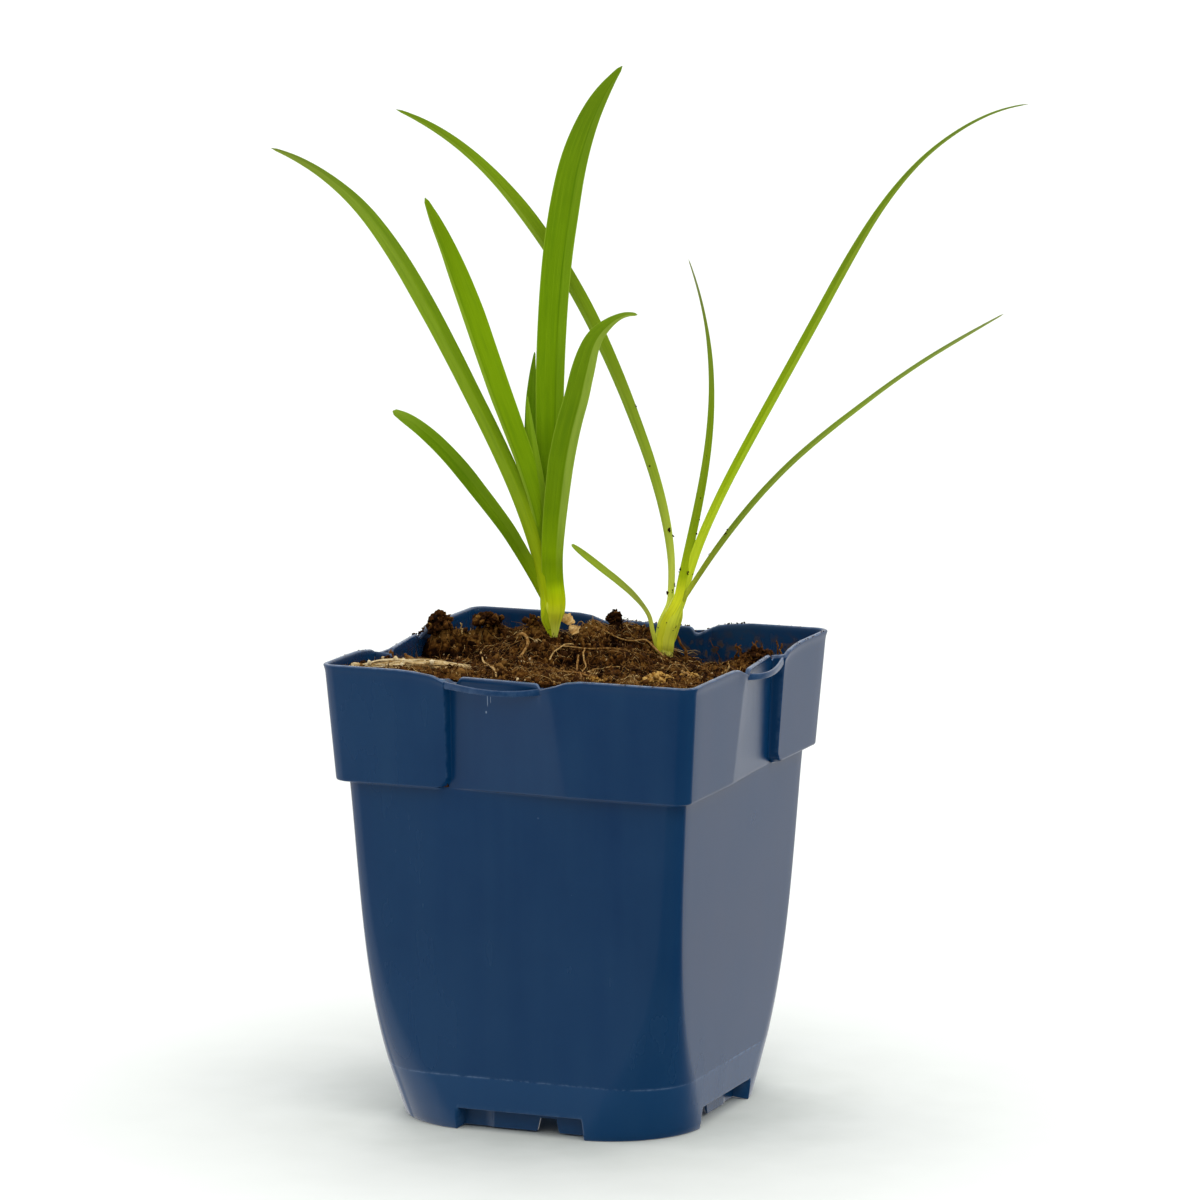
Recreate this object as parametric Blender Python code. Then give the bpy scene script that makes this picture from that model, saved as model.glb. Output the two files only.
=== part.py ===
# Potted agapanthus: a square nursery pot of thin moulded plastic, filled with peat, with two young
# shoots of strap leaves.  Metres, +Z up.  The row's origin is the middle of the whole plant's box at
# floor level, so everything hangs from one empty that stands on the pot's own axis.
import math

import bmesh
import bpy
import numpy as np
from mathutils import Matrix, Vector

mm = 0.001

# ---------------------------------------------------------------- driving dimensions
potAxis = (-10.2 * mm, -6.6 * mm)       # where the pot's axis stands in the row's frame
potHeight = 107.0 * mm
wall = 0.9 * mm
clearance = 0.3 * mm                    # gap kept between pieces that touch

rimHalf = 45.0 * mm                     # collar: half width at the rim, and at its lower edge
collarFootHalf = 43.1 * mm
collarFootZ = 80.2 * mm
collarRound = 3.3 * mm
bodyTopHalf = 40.9 * mm                 # body: half width and corner radius, top, crease and floor
bodyTopRound = 3.7 * mm
creaseZ = 12.8 * mm
creaseHalf = 37.2 * mm
creaseRound = 15.2 * mm
floorHalf = 36.0 * mm
floorRound = 22.4 * mm
ledgeRise = 0.4 * mm                    # the collar's lower edge is a ledge with this much fall

stepSide = -14.8 * mm                   # each face's panel: a sharp step on one side of the face ...
stepRun = 0.5 * mm
creaseTop = 10.5 * mm                   # ... and a slanting crease on the other, where it runs out
creaseFoot = 14.1 * mm
panelDepthTop = 3.0 * mm
panelDepthFoot = 2.2 * mm
lipZ = (103.0 * mm, 104.6 * mm)         # the bowed strip across the top of the panel
lipThick = 0.8 * mm
lipBow = 2.0 * mm
lipEnds = (-15.6 * mm, 9.2 * mm)
lipSunk = 0.35 * mm                     # its ends lie this far inside the collar's face

notchHalfFoot = 15.6 * mm               # foot notch in the middle of each side
notchHalfTop = 15.1 * mm
notchHigh = 5.0 * mm
notchDeep = 3.2 * mm
gapSide = (3.6 * mm, 7.6 * mm)          # drain gap in the wall behind the notch, at its top ...
gapFlare = 0.7 * mm                     # ... and this much wider each way at its foot
gapHigh = 3.7 * mm
ringLift = 0.5 * mm                     # the wall behind the notch ends this much above the floor
footBevel = 0.3 * mm                    # the pot's lowest edge is bevelled in and up
footBevelHigh = 0.5 * mm
wellHalf = 31.9 * mm                    # raised middle of the base
wellRound = 24.0 * mm
wellCeiling = 5.0 * mm
wellOverlap = 3.0 * mm                  # the roof over a notch runs this far into the raised middle
wellFoot = 0.6 * mm                     # the raised middle's wall joins the outer wall above this height
drainRadius = 3.0 * mm
drainReach = 17.0 * mm
drainMiddle = 4.0 * mm

# places along a face where its outline is sampled, and how far the rim dips at each, in millimetres
sideStops = (-41.7, -30.0, -18.0, -14.8, -14.3, -12.4, -11.3, 0.0, 7.1, 8.3, 11.0, 18.0, 30.0, 41.7)
rimDips = (0.0, 0.0, 0.1, 2.2, 2.3, 2.5, 1.2, 1.1, 1.1, 2.4, 1.7, 0.0, 0.0, 0.0)
stepStops = (3, 4)                      # the stops at the top and the foot of the panel's step
creaseStop = 10                         # the stop that follows the panel's slanting crease
cornerSteps = 5
gatherEase = 0.2                        # how far the stops keep their place as a face's flat part narrows
stepFollow = 0.9                        # inside, the step's stops shift by this share of the wall
leastRound = 0.4 * mm
bandZ = 101.5 * mm                      # a ring below the rim's dips, where the peat also meets the wall
bodyLevels = (72.0, 60.0, 48.0, 37.0, 28.0, 20.0)

# peat: a sloping bed with mounds (x, y, height, spread), in millimetres about the pot's axis
bedLevel = 103.8
bedSlope = (-0.04, -0.045)
bedEase = 0.25 * mm                     # the bed's edge draws in by this much where it leaves the wall
peatShares = (0.89, 0.78, 0.67, 0.56, 0.45, 0.34, 0.23, 0.12)
mounds = (
    (-8.0, 13.0, 5.4, 16.0),
    (-35.0, 5.0, 5.2, 8.0),
    (-27.0, 19.0, 3.0, 9.0),
    (5.0, 22.0, 3.0, 8.0),
    (-40.0, 38.0, -3.0, 9.0),
    (24.0, 34.0, -2.5, 12.0),
)

# shoots: (x, y, z, radius across, radius deep) from the buried tip upward, millimetres about the axis
stems = {
    "left_shoot_base": (
        (-9.4, 8.1, 97.0, 0.9), (-9.6, 8.0, 103.0, 1.3), (-9.7, 8.0, 107.7, 1.9),
        (-9.5, 8.0, 112.1, 2.75), (-10.0, 7.8, 117.2, 2.85),
    ),
    "right_shoot_base": (
        (15.4, 20.4, 95.0, 0.9), (15.3, 20.3, 100.0, 1.4), (15.1, 20.1, 103.8, 2.0),
        (14.5, 19.9, 108.6, 2.55), (15.7, 20.4, 114.6, 2.2), (16.6, 20.8, 117.2, 2.0),
    ),
}

# leaves: base point and length in millimetres about the pot's axis, lean from upright at four even
# stations, compass heading at the base and its drift to the tip, all in degrees; full width, width at
# the base, where the taper starts, the taper's power, the tilt of the blade's face, and the tip's turn.
leaves = {
    "left_leaf_long": dict(base=(-10.7, 6.9, 117.6), length=125.2, lean=(8.8, 24.2, 33.7, 71.0),
                           heading=189.7, drift=23.1, width=4.9, taper=0.58, power=0.85, tilt=32),
    "left_leaf_second": dict(base=(-10.6, 7.6, 117.6), length=96.6, lean=(-2.5, 16.9, 22.0, 21.5),
                             heading=214.0, drift=-9.1, width=5.6, taper=0.58, power=0.5, tilt=18),
    "left_leaf_tall": dict(base=(-10.8, 9.6, 117.6), length=126.0, lean=(-2.5, 0.7, 11.2, 50.0),
                           heading=63.8, drift=-0.3, width=7.3, taper=0.58, power=0.62, tilt=8),
    "left_leaf_hooked": dict(base=(-8.7, 6.3, 117.6), length=78.5, lean=(-10.0, 8.8, 20.2, 100.4),
                             heading=-19.2, drift=1.5, width=6.2, taper=0.55, power=0.8, tilt=12),
    "left_leaf_low": dict(base=(-11.1, 6.0, 117.6), length=56.8, lean=(26.7, 33.7, 41.3, 63.1),
                          heading=213.7, drift=2.2, width=4.4, taper=0.6, power=0.31, tilt=25),
    "left_leaf_inner": dict(base=(-12.0, 10.1, 117.6), length=55.7, lean=(7.1, 9.0, 2.4, -9.7),
                            heading=159.9, drift=-4.1, width=4.0, taper=0.55, power=0.7, tilt=0),
    "left_leaf_spear": dict(base=(-10.8, 8.4, 117.6), length=46.1, lean=(6.6, 6.4, 7.0, 3.2),
                            heading=203.0, drift=0.0, width=3.8, taper=0.5, power=0.8, tilt=0),
    "right_leaf_arched": dict(base=(14.8, 21.0, 117.6), length=135.5, lean=(-2.0, 23.2, 38.3, 72.2),
                              heading=185.5, drift=-4.0, width=3.7, taper=0.6, power=0.67, tilt=25),
    "right_leaf_upright": dict(base=(16.7, 21.1, 117.6), length=78.8, lean=(15.0, 12.4, -4.4, -22.4),
                               heading=63.8, drift=-12.4, width=2.3, taper=0.15, power=1.0, tilt=0),
    "right_leaf_long": dict(base=(17.6, 20.9, 117.6), length=142.4, lean=(15.5, 29.0, 33.7, 85.0),
                            heading=37.7, drift=-15.2, width=2.7, taper=0.45, power=0.8, tilt=30),
    "right_leaf_low": dict(base=(18.3, 20.5, 117.6), length=99.0, lean=(32.0, 43.4, 54.4, 60.1),
                           heading=13.9, drift=2.9, width=1.7, taper=0.3, power=0.8, tilt=35),
    "right_leaf_short": dict(base=(11.7, 17.3, 108.4), length=29.8, lean=(18.5, 40.3, 52.6, 50.1),
                             heading=219.5, drift=-0.5, width=1.8, taper=0.6, power=0.3, tilt=20),
}
faceHeading = -68.0                     # the compass direction that the blades face, degrees
leafBaseWidth = 1.6 * mm
leafThick = 0.36 * mm                   # along the midrib at the base, and at the widest part
leafThickFull = 0.8 * mm
leafEdge = 0.16 * mm
leafFold = 0.14                         # depth of the channel as a share of the width
leafStations = 22
leafGrownBy = 0.42                      # shares of the length where a leaf is full width, and fully tilted
leafTiltedBy = 0.6
leafTip = 0.35 * mm                     # least width, and least thickness at the midrib
leafLeast = 0.26 * mm
stemSides = 12

colours = {
    "pot": ((0.012, 0.045, 0.135), 0.42),
    "peat": ((0.045, 0.022, 0.010), 0.95),
    "shoot": ((0.42, 0.56, 0.10), 0.45),
    "leaf": ((0.13, 0.30, 0.02), 0.40),
    "straw": ((0.42, 0.27, 0.11), 0.85),
    "root": ((0.33, 0.20, 0.09), 0.80),
    "scale": ((0.50, 0.33, 0.15), 0.70),
}


# ---------------------------------------------------------------- scene and small tools
def clearScene():
    for thing in list(bpy.data.objects):
        bpy.data.objects.remove(thing)


def newCollection(name):
    collection = bpy.data.collections.new(name)
    bpy.context.scene.collection.children.link(collection)
    return collection


def newMaterial(name):
    colour, roughness = colours[name]
    material = bpy.data.materials.new(name)
    material.use_nodes = True
    shader = material.node_tree.nodes["Principled BSDF"]
    shader.inputs["Base Color"].default_value = (*colour, 1.0)
    shader.inputs["Roughness"].default_value = roughness
    shader.inputs["Metallic"].default_value = 0.0
    return material


def smooth(t):
    t = min(max(t, 0.0), 1.0)
    return t * t * (3.0 - 2.0 * t)


def mix(a, b, t):
    return a + (b - a) * t


def addObject(name, mesh, materialName, collection, stand):
    part = bpy.data.objects.new(name, mesh)
    collection.objects.link(part)
    part.parent = stand
    mesh.materials.append(materials[materialName])
    mesh.shade_smooth()
    mesh.set_sharp_from_angle(angle=math.radians(35))
    return part


def loftRings(name, rings, closeEnds=True):
    """A closed skin over rings of equal point count, each ring running counterclockwise from above."""
    count = len(rings[0])
    points = [point for ring in rings for point in ring]
    faces = []
    for row in range(len(rings) - 1):
        low = row * count
        high = low + count
        for i in range(count):
            j = (i + 1) % count
            faces.append((low + i, low + j, high + j, high + i))
    if closeEnds:
        faces.append(tuple(reversed(range(count))))
        faces.append(tuple(range(len(points) - count, len(points))))
    mesh = bpy.data.meshes.new(name)
    mesh.from_pydata(points, [], faces)
    mesh.validate()
    return mesh


def setNormals(mesh):
    work = bmesh.new()
    work.from_mesh(mesh)
    bmesh.ops.recalc_face_normals(work, faces=work.faces)
    work.to_mesh(mesh)
    work.free()


def boolean(target, cutter, operation):
    """Apply one exact Boolean to the target's own mesh."""
    modifier = target.modifiers.new(operation.lower(), "BOOLEAN")
    modifier.operation = operation
    modifier.solver = "EXACT"
    modifier.object = cutter
    bpy.context.view_layer.update()
    evaluated = target.evaluated_get(bpy.context.evaluated_depsgraph_get())
    result = bpy.data.meshes.new_from_object(evaluated)
    target.modifiers.remove(modifier)
    old = target.data
    target.data = result
    result.name = old.name
    work = bmesh.new()
    work.from_mesh(result)
    bmesh.ops.dissolve_degenerate(work, dist=0.00001, edges=work.edges)
    bmesh.ops.triangulate(work, faces=work.faces)
    work.to_mesh(result)
    work.free()


def addCutter(name, mesh, stand):
    setNormals(mesh)
    cutter = bpy.data.objects.new(name, mesh)
    cutters.objects.link(cutter)
    cutter.parent = stand
    cutter.hide_render = True
    cutter.display_type = "WIRE"
    return cutter


# ---------------------------------------------------------------- the pot's shape
def potSection(z):
    """Half width and corner radius of the pot's outside at height z."""
    if z >= collarFootZ:
        rise = (z - collarFootZ) / (potHeight - collarFootZ)
        return mix(collarFootHalf, rimHalf, rise), collarRound
    if z >= creaseZ:
        fall = (collarFootZ - ledgeRise - z) / (collarFootZ - ledgeRise - creaseZ)
        fall = max(fall, 0.0)
        half = mix(bodyTopHalf, creaseHalf, fall ** 0.91)
        return half, mix(bodyTopRound, creaseRound, fall ** 3.8)
    rise = z / creaseZ
    return mix(floorHalf, creaseHalf, rise), mix(floorRound, creaseRound, rise)


def panelDepth(side, z):
    """How far a collar face is set in at a place along it: none, then a step, then a slope back to none."""
    if z < collarFootZ:
        return 0.0
    rise = (z - collarFootZ) / (potHeight - collarFootZ)
    crease = mix(creaseFoot, creaseTop, rise)
    if side <= stepSide or side >= crease:
        return 0.0
    depth = mix(panelDepthFoot, panelDepthTop, rise)
    if side < stepSide + stepRun:
        return depth * (side - stepSide) / stepRun
    return depth * (crease - side) / (crease - stepSide - stepRun)


# outward normal, direction of travel counterclockwise from above, and which way the panel runs
sides = (
    (Vector((0, -1)), Vector((1, 0)), 1.0),
    (Vector((1, 0)), Vector((0, 1)), -1.0),
    (Vector((0, 1)), Vector((-1, 0)), 1.0),
    (Vector((-1, 0)), Vector((0, -1)), -1.0),
)


def potRing(z, inset=0.0, shapeZ=None, rim=False):
    """One ring round the pot: four faces with their stops, and four rounded corners."""
    shapeZ = z if shapeZ is None else shapeZ
    half, radius = potSection(shapeZ)
    straight = half - radius
    full = -sideStops[0] * mm
    inner = half - inset
    ring = []
    for normal, travel, sense in sides:
        order = range(len(sideStops)) if sense > 0 else reversed(range(len(sideStops)))
        for i in order:
            place = sideStops[i] * mm
            if i == creaseStop and shapeZ >= collarFootZ:
                rise = (shapeZ - collarFootZ) / (potHeight - collarFootZ)
                place = mix(creaseFoot, creaseTop, rise)
            depth = panelDepth(place, shapeZ)
            if shapeZ > collarFootZ - 2 * ledgeRise and i in stepStops:
                place -= inset * stepFollow
            gather = straight / full * (1.0 + gatherEase * (1.0 - abs(place) / full))
            place *= min(gather, 1.0)
            level = z - rimDips[i] * mm if rim else z
            flat = normal * (inner - depth) + travel * (place * sense)
            ring.append((flat.x, flat.y, level))
        turn = max(radius - inset, leastRound)
        centre = (normal + travel) * (inner - turn)
        for k in range(1, cornerSteps):
            angle = 0.5 * math.pi * k / cornerSteps
            flat = centre + (normal * math.cos(angle) + travel * math.sin(angle)) * turn
            ring.append((flat.x, flat.y, z))
    return ring


def outerRings():
    """The outside, from the foot up."""
    rings = [potRing(0.0, inset=footBevel), potRing(footBevelHigh), potRing(wellCeiling + wellFoot)]
    rings.append(potRing(creaseZ))
    rings += [potRing(level * mm) for level in reversed(bodyLevels)]
    rings.append(potRing(collarFootZ - ledgeRise))
    rings.append(potRing(collarFootZ))
    rings.append(potRing(bandZ))
    rings.append(potRing(potHeight, rim=True))
    return rings


def innerRings(inset, foot):
    """The hollow, from the rim down: the pot's outside set in by the wall."""
    under = collarFootZ - ledgeRise
    rings = [potRing(potHeight, inset=inset, rim=True), potRing(bandZ, inset=inset)]
    rings.append(potRing(collarFootZ + inset, inset=inset, shapeZ=collarFootZ))
    rings.append(potRing(under + inset, inset=inset, shapeZ=under))
    rings += [potRing(level * mm, inset=inset) for level in bodyLevels]
    rings.append(potRing(creaseZ, inset=inset))
    rings.append(potRing(foot, inset=inset))
    return rings


def roundedBlock(name, half, radius, low, high):
    """A square block with round corners, flat top and bottom."""
    rings = []
    for z in (low, high):
        ring = []
        for normal, travel, _ in sides:
            centre = (normal + travel) * (half - radius)
            for k in range(9):
                angle = 0.5 * math.pi * k / 8
                flat = centre + (normal * math.cos(angle) + travel * math.sin(angle)) * radius
                ring.append((flat.x, flat.y, z))
        rings.append(ring)
    return loftRings(name, rings)


def sideBlock(name, faceIndex, sideRange, depthRange, heights, topSides=None):
    """A block on one side of the pot: along the face, in from the axis, and up; its top may be narrower."""
    normal, travel, sense = sides[faceIndex]
    topSides = sideRange if topSides is None else topSides
    rings = []
    for z, (start, stop) in zip(heights, (sideRange, topSides)):
        back, front = depthRange
        corners = ((start, back), (stop, back), (stop, front), (start, front))
        ring = []
        for along, out in corners:
            flat = normal * out + travel * (along * sense)
            ring.append((flat.x, flat.y, z))
        rings.append(ring)
    return loftRings(name, rings)


def raisedBase(name, grow, low, reach, stand):
    """The block that lifts the middle of the base and roofs the foot notches, grown by a wall or a gap."""
    top = wellCeiling + grow
    block = addCutter(name, roundedBlock(name, wellHalf + grow, wellRound + grow, low, top), stand)
    for i in range(len(sides)):
        half = notchHalfFoot + grow
        inner = wellHalf - wellOverlap
        mesh = sideBlock(name + "_side", i, (-half, half), (inner, reach), (low, top))
        boolean(block, addCutter(name + "_side", mesh, stand), "UNION")
    return block


def buildPot(collection, stand):
    rings = outerRings() + innerRings(wall, wall)
    mesh = loftRings("pot", rings)
    setNormals(mesh)
    pot = addObject("pot", mesh, "pot", collection, stand)
    lifted = raisedBase("raised_base", wall, wellFoot, floorHalf - 0.5 * wall, stand)
    boolean(pot, lifted, "UNION")
    under = roundedBlock("under_recess", wellHalf, wellRound, -2 * mm, wellCeiling)
    boolean(pot, addCutter("under_recess", under, stand), "DIFFERENCE")
    for i in range(len(sides)):
        cutSide(pot, i, stand)
    for x, y, radius in drainPlaces():
        boolean(pot, drainCutter(x, y, radius, stand), "DIFFERENCE")
    for i in range(len(sides)):
        boolean(pot, addCutter("lip", lipStrip(i), stand), "UNION")
    return pot


def drainPlaces():
    """Five drain holes: one in the middle and one towards each corner."""
    places = [(0.0, 0.0, drainMiddle)]
    for k in range(4):
        angle = math.radians(45 + 90 * k)
        places.append((drainReach * math.cos(angle), drainReach * math.sin(angle), drainRadius))
    return places


def drainCutter(x, y, radius, stand):
    """A cylinder through the raised floor."""
    bpy.ops.mesh.primitive_cylinder_add(vertices=16, radius=radius, depth=6 * wall,
                                        location=(x, y, wellCeiling))
    hole = bpy.context.active_object
    hole.name = "drain_cutter"
    hole.parent = stand
    for owner in list(hole.users_collection):
        owner.objects.unlink(hole)
    cutters.objects.link(hole)
    hole.hide_render = True
    hole.display_type = "WIRE"
    return hole


def cutSide(pot, i, stand):
    """The foot notch of one side, the drain gap in the wall behind it, and that wall's lifted edge."""
    outside = floorHalf + 3 * mm
    back = floorHalf - notchDeep
    notch = sideBlock("notch", i, (-notchHalfFoot, notchHalfFoot), (back, outside),
                      (-1 * mm, notchHigh), (-notchHalfTop, notchHalfTop))
    boolean(pot, addCutter("notch", notch, stand), "DIFFERENCE")
    gap = sideBlock("drain_gap", i, (gapSide[0] - gapFlare, gapSide[1] + gapFlare),
                    (wellHalf - wellOverlap, outside), (-1 * mm, gapHigh), gapSide)
    boolean(pot, addCutter("drain_gap", gap, stand), "DIFFERENCE")
    lift = sideBlock("ring_lift", i, (-notchHalfFoot, notchHalfFoot), (wellHalf - wellOverlap, outside),
                     (-1 * mm, ringLift))
    boolean(pot, addCutter("ring_lift", lift, stand), "DIFFERENCE")


def lipStrip(i):
    """The bowed strip in front of the panel's top: an arc of constant thickness."""
    normal, travel, sense = sides[i]
    steps = 10
    middle = 0.5 * (lipEnds[0] + lipEnds[1])
    reach = 0.5 * (lipEnds[1] - lipEnds[0])
    half, _ = potSection(lipZ[1])
    front, back = [], []
    for k in range(steps + 1):
        u = -1.0 + 2.0 * k / steps
        along = middle + reach * u
        out = half - lipSunk + lipBow * (1.0 - u * u)
        front.append((along, out))
        back.append((along, out - lipThick))
    outline = front + back[::-1]
    rings = []
    for z in lipZ:
        ring = []
        for along, out in outline:
            flat = normal * out + travel * (along * sense)
            ring.append((flat.x, flat.y, z))
        rings.append(ring)
    return loftRings("lip", rings)


# ---------------------------------------------------------------- the peat
def peatHeight(x, y):
    """Height of the peat at a place about the pot's axis: a sloping bed plus round mounds, in metres."""
    height = bedLevel + bedSlope[0] * x / mm + bedSlope[1] * y / mm
    for cx, cy, rise, spread in mounds:
        away = ((x / mm - cx) ** 2 + (y / mm - cy) ** 2) / (spread * spread)
        height += rise * math.exp(-away)
    return height * mm


def buildPeat(collection, stand):
    inset = wall + clearance
    around = innerRings(inset, inset)[2:][::-1]
    top = potRing(bandZ, inset=inset + bedEase)
    edge = [(x, y, peatHeight(x, y)) for x, y, _ in top]
    rings = around + [edge]
    for share in peatShares:
        inner = evened(top, share)
        rings.append([(x, y, peatHeight(x, y)) for x, y in inner])
    mesh = loftRings("peat", rings)
    setNormals(mesh)
    peat = addObject("peat", mesh, "peat", collection, stand)
    base = raisedBase("peat_base", wall + clearance, -2 * mm, floorHalf + 4 * mm, stand)
    boolean(peat, base, "DIFFERENCE")
    for name in stems:
        boolean(peat, stemSolid(name, clearance, stand, True), "DIFFERENCE")
    return peat


def evened(ring, share):
    """The ring shrunk to a share of its size, its points sliding towards an even spread round a circle."""
    start = math.atan2(ring[0][1], ring[0][0])
    radius = share * rimHalf
    out = []
    for k, (x, y, _) in enumerate(ring):
        angle = start + 2.0 * math.pi * k / len(ring)
        out.append((mix(radius * math.cos(angle), x * share, share * share),
                    mix(radius * math.sin(angle), y * share, share * share)))
    return out


# ---------------------------------------------------------------- stems, roots and leaves
def stemSolid(name, grow, stand, cutter):
    """A round shoot base lofted over its stations, grown by a gap when it cuts its own pocket."""
    stations = stems[name]
    rings = []
    first = stations[0]
    last = stations[-1]
    heights = [(first[0], first[1], first[2] * mm - grow, first[3])]
    heights += [(x, y, z * mm, r) for x, y, z, r in stations[1:-1]]
    heights.append((last[0], last[1], last[2] * mm + (2 * mm if cutter else 0.0), last[3]))
    for x, y, z, radius in heights:
        ring = []
        for k in range(stemSides):
            angle = 2.0 * math.pi * k / stemSides
            reach = radius * mm + grow
            ring.append((x * mm + reach * math.cos(angle), y * mm + reach * math.sin(angle), z))
        rings.append(ring)
    mesh = loftRings(name, rings)
    if cutter:
        return addCutter(name + "_pocket", mesh, stand)
    setNormals(mesh)
    return mesh


def fourStations(values, t):
    """Smooth cubic through values at t = 0, 1/3, 2/3 and 1."""
    a, b, c, d = values
    x = 3.0 * t
    return (a * (1 - x) * (2 - x) * (3 - x) / 6 + b * x * (2 - x) * (3 - x) / 2
            - c * x * (1 - x) * (3 - x) / 2 + d * x * (1 - x) * (2 - x) / 6)


def leafLine(leaf, steps):
    """Points and directions along a leaf: its lean and heading are walked from the base to the tip."""
    point = Vector(leaf["base"]) * mm
    fine = 5
    piece = leaf["length"] * mm / (steps * fine)
    points, directions = [], []
    for k in range(steps * fine + 1):
        t = k / (steps * fine)
        lean = math.radians(fourStations(leaf["lean"], t))
        heading = math.radians(leaf["heading"] + leaf["drift"] * t)
        direction = Vector((math.sin(lean) * math.cos(heading), math.sin(lean) * math.sin(heading),
                            math.cos(lean)))
        if k % fine == 0:
            points.append(point.copy())
            directions.append(direction)
        point = point + direction * piece
    return points, directions


def leafMesh(name, leaf):
    """A blade: a shallow channel section that grows from a narrow base and tapers to the tip."""
    points, directions = leafLine(leaf, leafStations)
    rings = []
    for k, (point, direction) in enumerate(zip(points, directions)):
        t = k / leafStations
        turn = math.radians(faceHeading)
        tilt = math.radians(leaf["tilt"] * smooth(t / leafTiltedBy))
        face = Vector((math.cos(turn) * math.cos(tilt), math.sin(turn) * math.cos(tilt), math.sin(tilt)))
        across = direction.cross(face).normalized()
        outward = across.cross(direction).normalized()
        if outward.dot(face) < 0:
            outward = -outward
        grown = smooth(t / leafGrownBy)
        base = min(leafBaseWidth, leaf["width"] * mm * 0.6)
        width = mix(base, leaf["width"] * mm, grown)
        past = max((t - leaf["taper"]) / (1.0 - leaf["taper"]), 0.0)
        narrow = max(1.0 - past * past, 0.0) ** leaf["power"]
        width = max(width * narrow, leafTip)
        body = mix(leafThick, leafThickFull * min(leaf["width"] / 5.0, 1.0), grown)
        body = max(body * math.sqrt(narrow), leafLeast)
        edge = min(leafEdge, 0.4 * body)
        fold = leafFold * width * grown * narrow
        half = 0.5 * width
        section = ((-half, 0.5 * edge), (-half, -0.5 * edge), (0.0, -0.5 * body - fold),
                   (half, -0.5 * edge), (half, 0.5 * edge), (0.0, 0.5 * body - fold))
        ring = [point + across * a + outward * b for a, b in section]
        rings.append([tuple(p) for p in ring])
    mesh = loftRings(name, rings)
    setNormals(mesh)
    return mesh


def rodMesh(name, points, radii):
    """A thin round root or straw: a curve with filled caps, made a closed mesh."""
    curve = bpy.data.curves.new(name, "CURVE")
    curve.dimensions = "3D"
    curve.bevel_depth = 1.0
    curve.bevel_resolution = 1
    curve.use_fill_caps = True
    spline = curve.splines.new("POLY")
    spline.points.add(len(points) - 1)
    for place, (x, y, z), radius in zip(spline.points, points, radii):
        place.co = (x, y, z, 1.0)
        place.radius = radius
    holder = bpy.data.objects.new(name, curve)
    cutters.objects.link(holder)
    bpy.context.view_layer.update()
    mesh = bpy.data.meshes.new_from_object(holder.evaluated_get(bpy.context.evaluated_depsgraph_get()))
    bpy.data.objects.remove(holder)
    work = bmesh.new()
    work.from_mesh(mesh)
    bmesh.ops.remove_doubles(work, verts=work.verts, dist=0.00001)
    bmesh.ops.recalc_face_normals(work, faces=work.faces)
    work.to_mesh(mesh)
    work.free()
    return mesh


def followPeat(path):
    """Give a list of (x, y, rise) in millimetres its heights above the peat, in metres."""
    return [(x * mm, y * mm, peatHeight(x * mm, y * mm) + rise * mm) for x, y, rise in path]


def settle(mesh, peat):
    """Lower or lift a piece until its nearest point hangs one clearance above the built peat."""
    drops = []
    for vert in mesh.vertices:
        start = Vector((vert.co.x, vert.co.y, potHeight * 2))
        hit, place, _, _ = peat.ray_cast(start, Vector((0, 0, -1)))
        if hit:
            drops.append(vert.co.z - place.z)
    mesh.transform(Matrix.Translation((0, 0, clearance - min(drops))))
    return mesh


# loose things on and in the peat: (x, y, rise above the peat) in millimetres, and a radius
roots = {
    "root_loop": dict(radius=0.45, path=((-15.0, -17.0, 0.3), (-20.0, -15.0, 0.6), (-26.0, -12.0, 1.0),
                                         (-29.0, -5.0, 1.4), (-26.0, 1.0, 1.2), (-20.0, 2.0, 0.5))),
    "root_red": dict(radius=0.42, path=((21.0, 22.0, 0.2), (21.2, 23.0, 3.2), (20.4, 24.6, 6.4),
                                        (18.8, 26.0, 8.4))),
    "rootlet_left": dict(radius=0.4, path=((-38.0, -14.0, 0.1), (-39.5, -13.5, 2.4), (-39.0, -14.6, 4.4))),
    "rootlet_mid": dict(radius=0.4, path=((28.0, 12.0, 0.1), (28.6, 12.6, 1.8), (27.6, 13.0, 3.4))),
    "rootlet_right": dict(radius=0.4, path=((35.0, 8.0, 0.1), (35.6, 8.8, 2.0), (34.6, 9.6, 3.8))),
    "rootlet_back": dict(radius=0.4, path=((37.5, 16.0, 0.1), (37.2, 16.8, 2.0), (38.2, 17.2, 4.0))),
    "root_front": dict(radius=0.38, path=((-2.0, -30.0, 0.2), (6.0, -27.0, 0.9), (14.0, -25.0, 0.7),
                                          (22.0, -26.0, 0.2))),
}


# lumps: place, half sizes and the seed of their unevenness; scales: place, lean of the tip, width, height
lumps = {
    "peat_lump_left": (-36.0, 6.0, (3.2, 2.8, 2.2), 3, "peat"),
    "peat_lump_back": (-24.0, 19.0, (2.4, 2.6, 1.8), 5, "peat"),
    "peat_lump_mid": (3.0, 22.5, (2.2, 2.0, 1.7), 7, "peat"),
    "bark_chip": (24.0, -7.0, (2.6, 1.8, 1.3), 9, "straw"),
}
scales = {
    "bulb_scale": (-6.3, 10.6, (1.4, 1.0), 3.6, 4.2),
    "bulb_scale_small": (-3.4, 10.2, (0.8, -0.4), 2.4, 2.6),
}


def strawMesh(name, path, widths, heights):
    """A flat, frayed stalk: an eight-sided section carried along its path."""
    rings = []
    for (x, y, z), width, height in zip(path, widths, heights):
        ring = []
        for k in range(8):
            angle = 2.0 * math.pi * k / 8
            ring.append((x, y + 0.5 * width * mm * math.cos(angle), z + 0.5 * height * mm * math.sin(angle)))
        rings.append(ring)
    mesh = loftRings(name, rings)
    setNormals(mesh)
    return mesh


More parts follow.
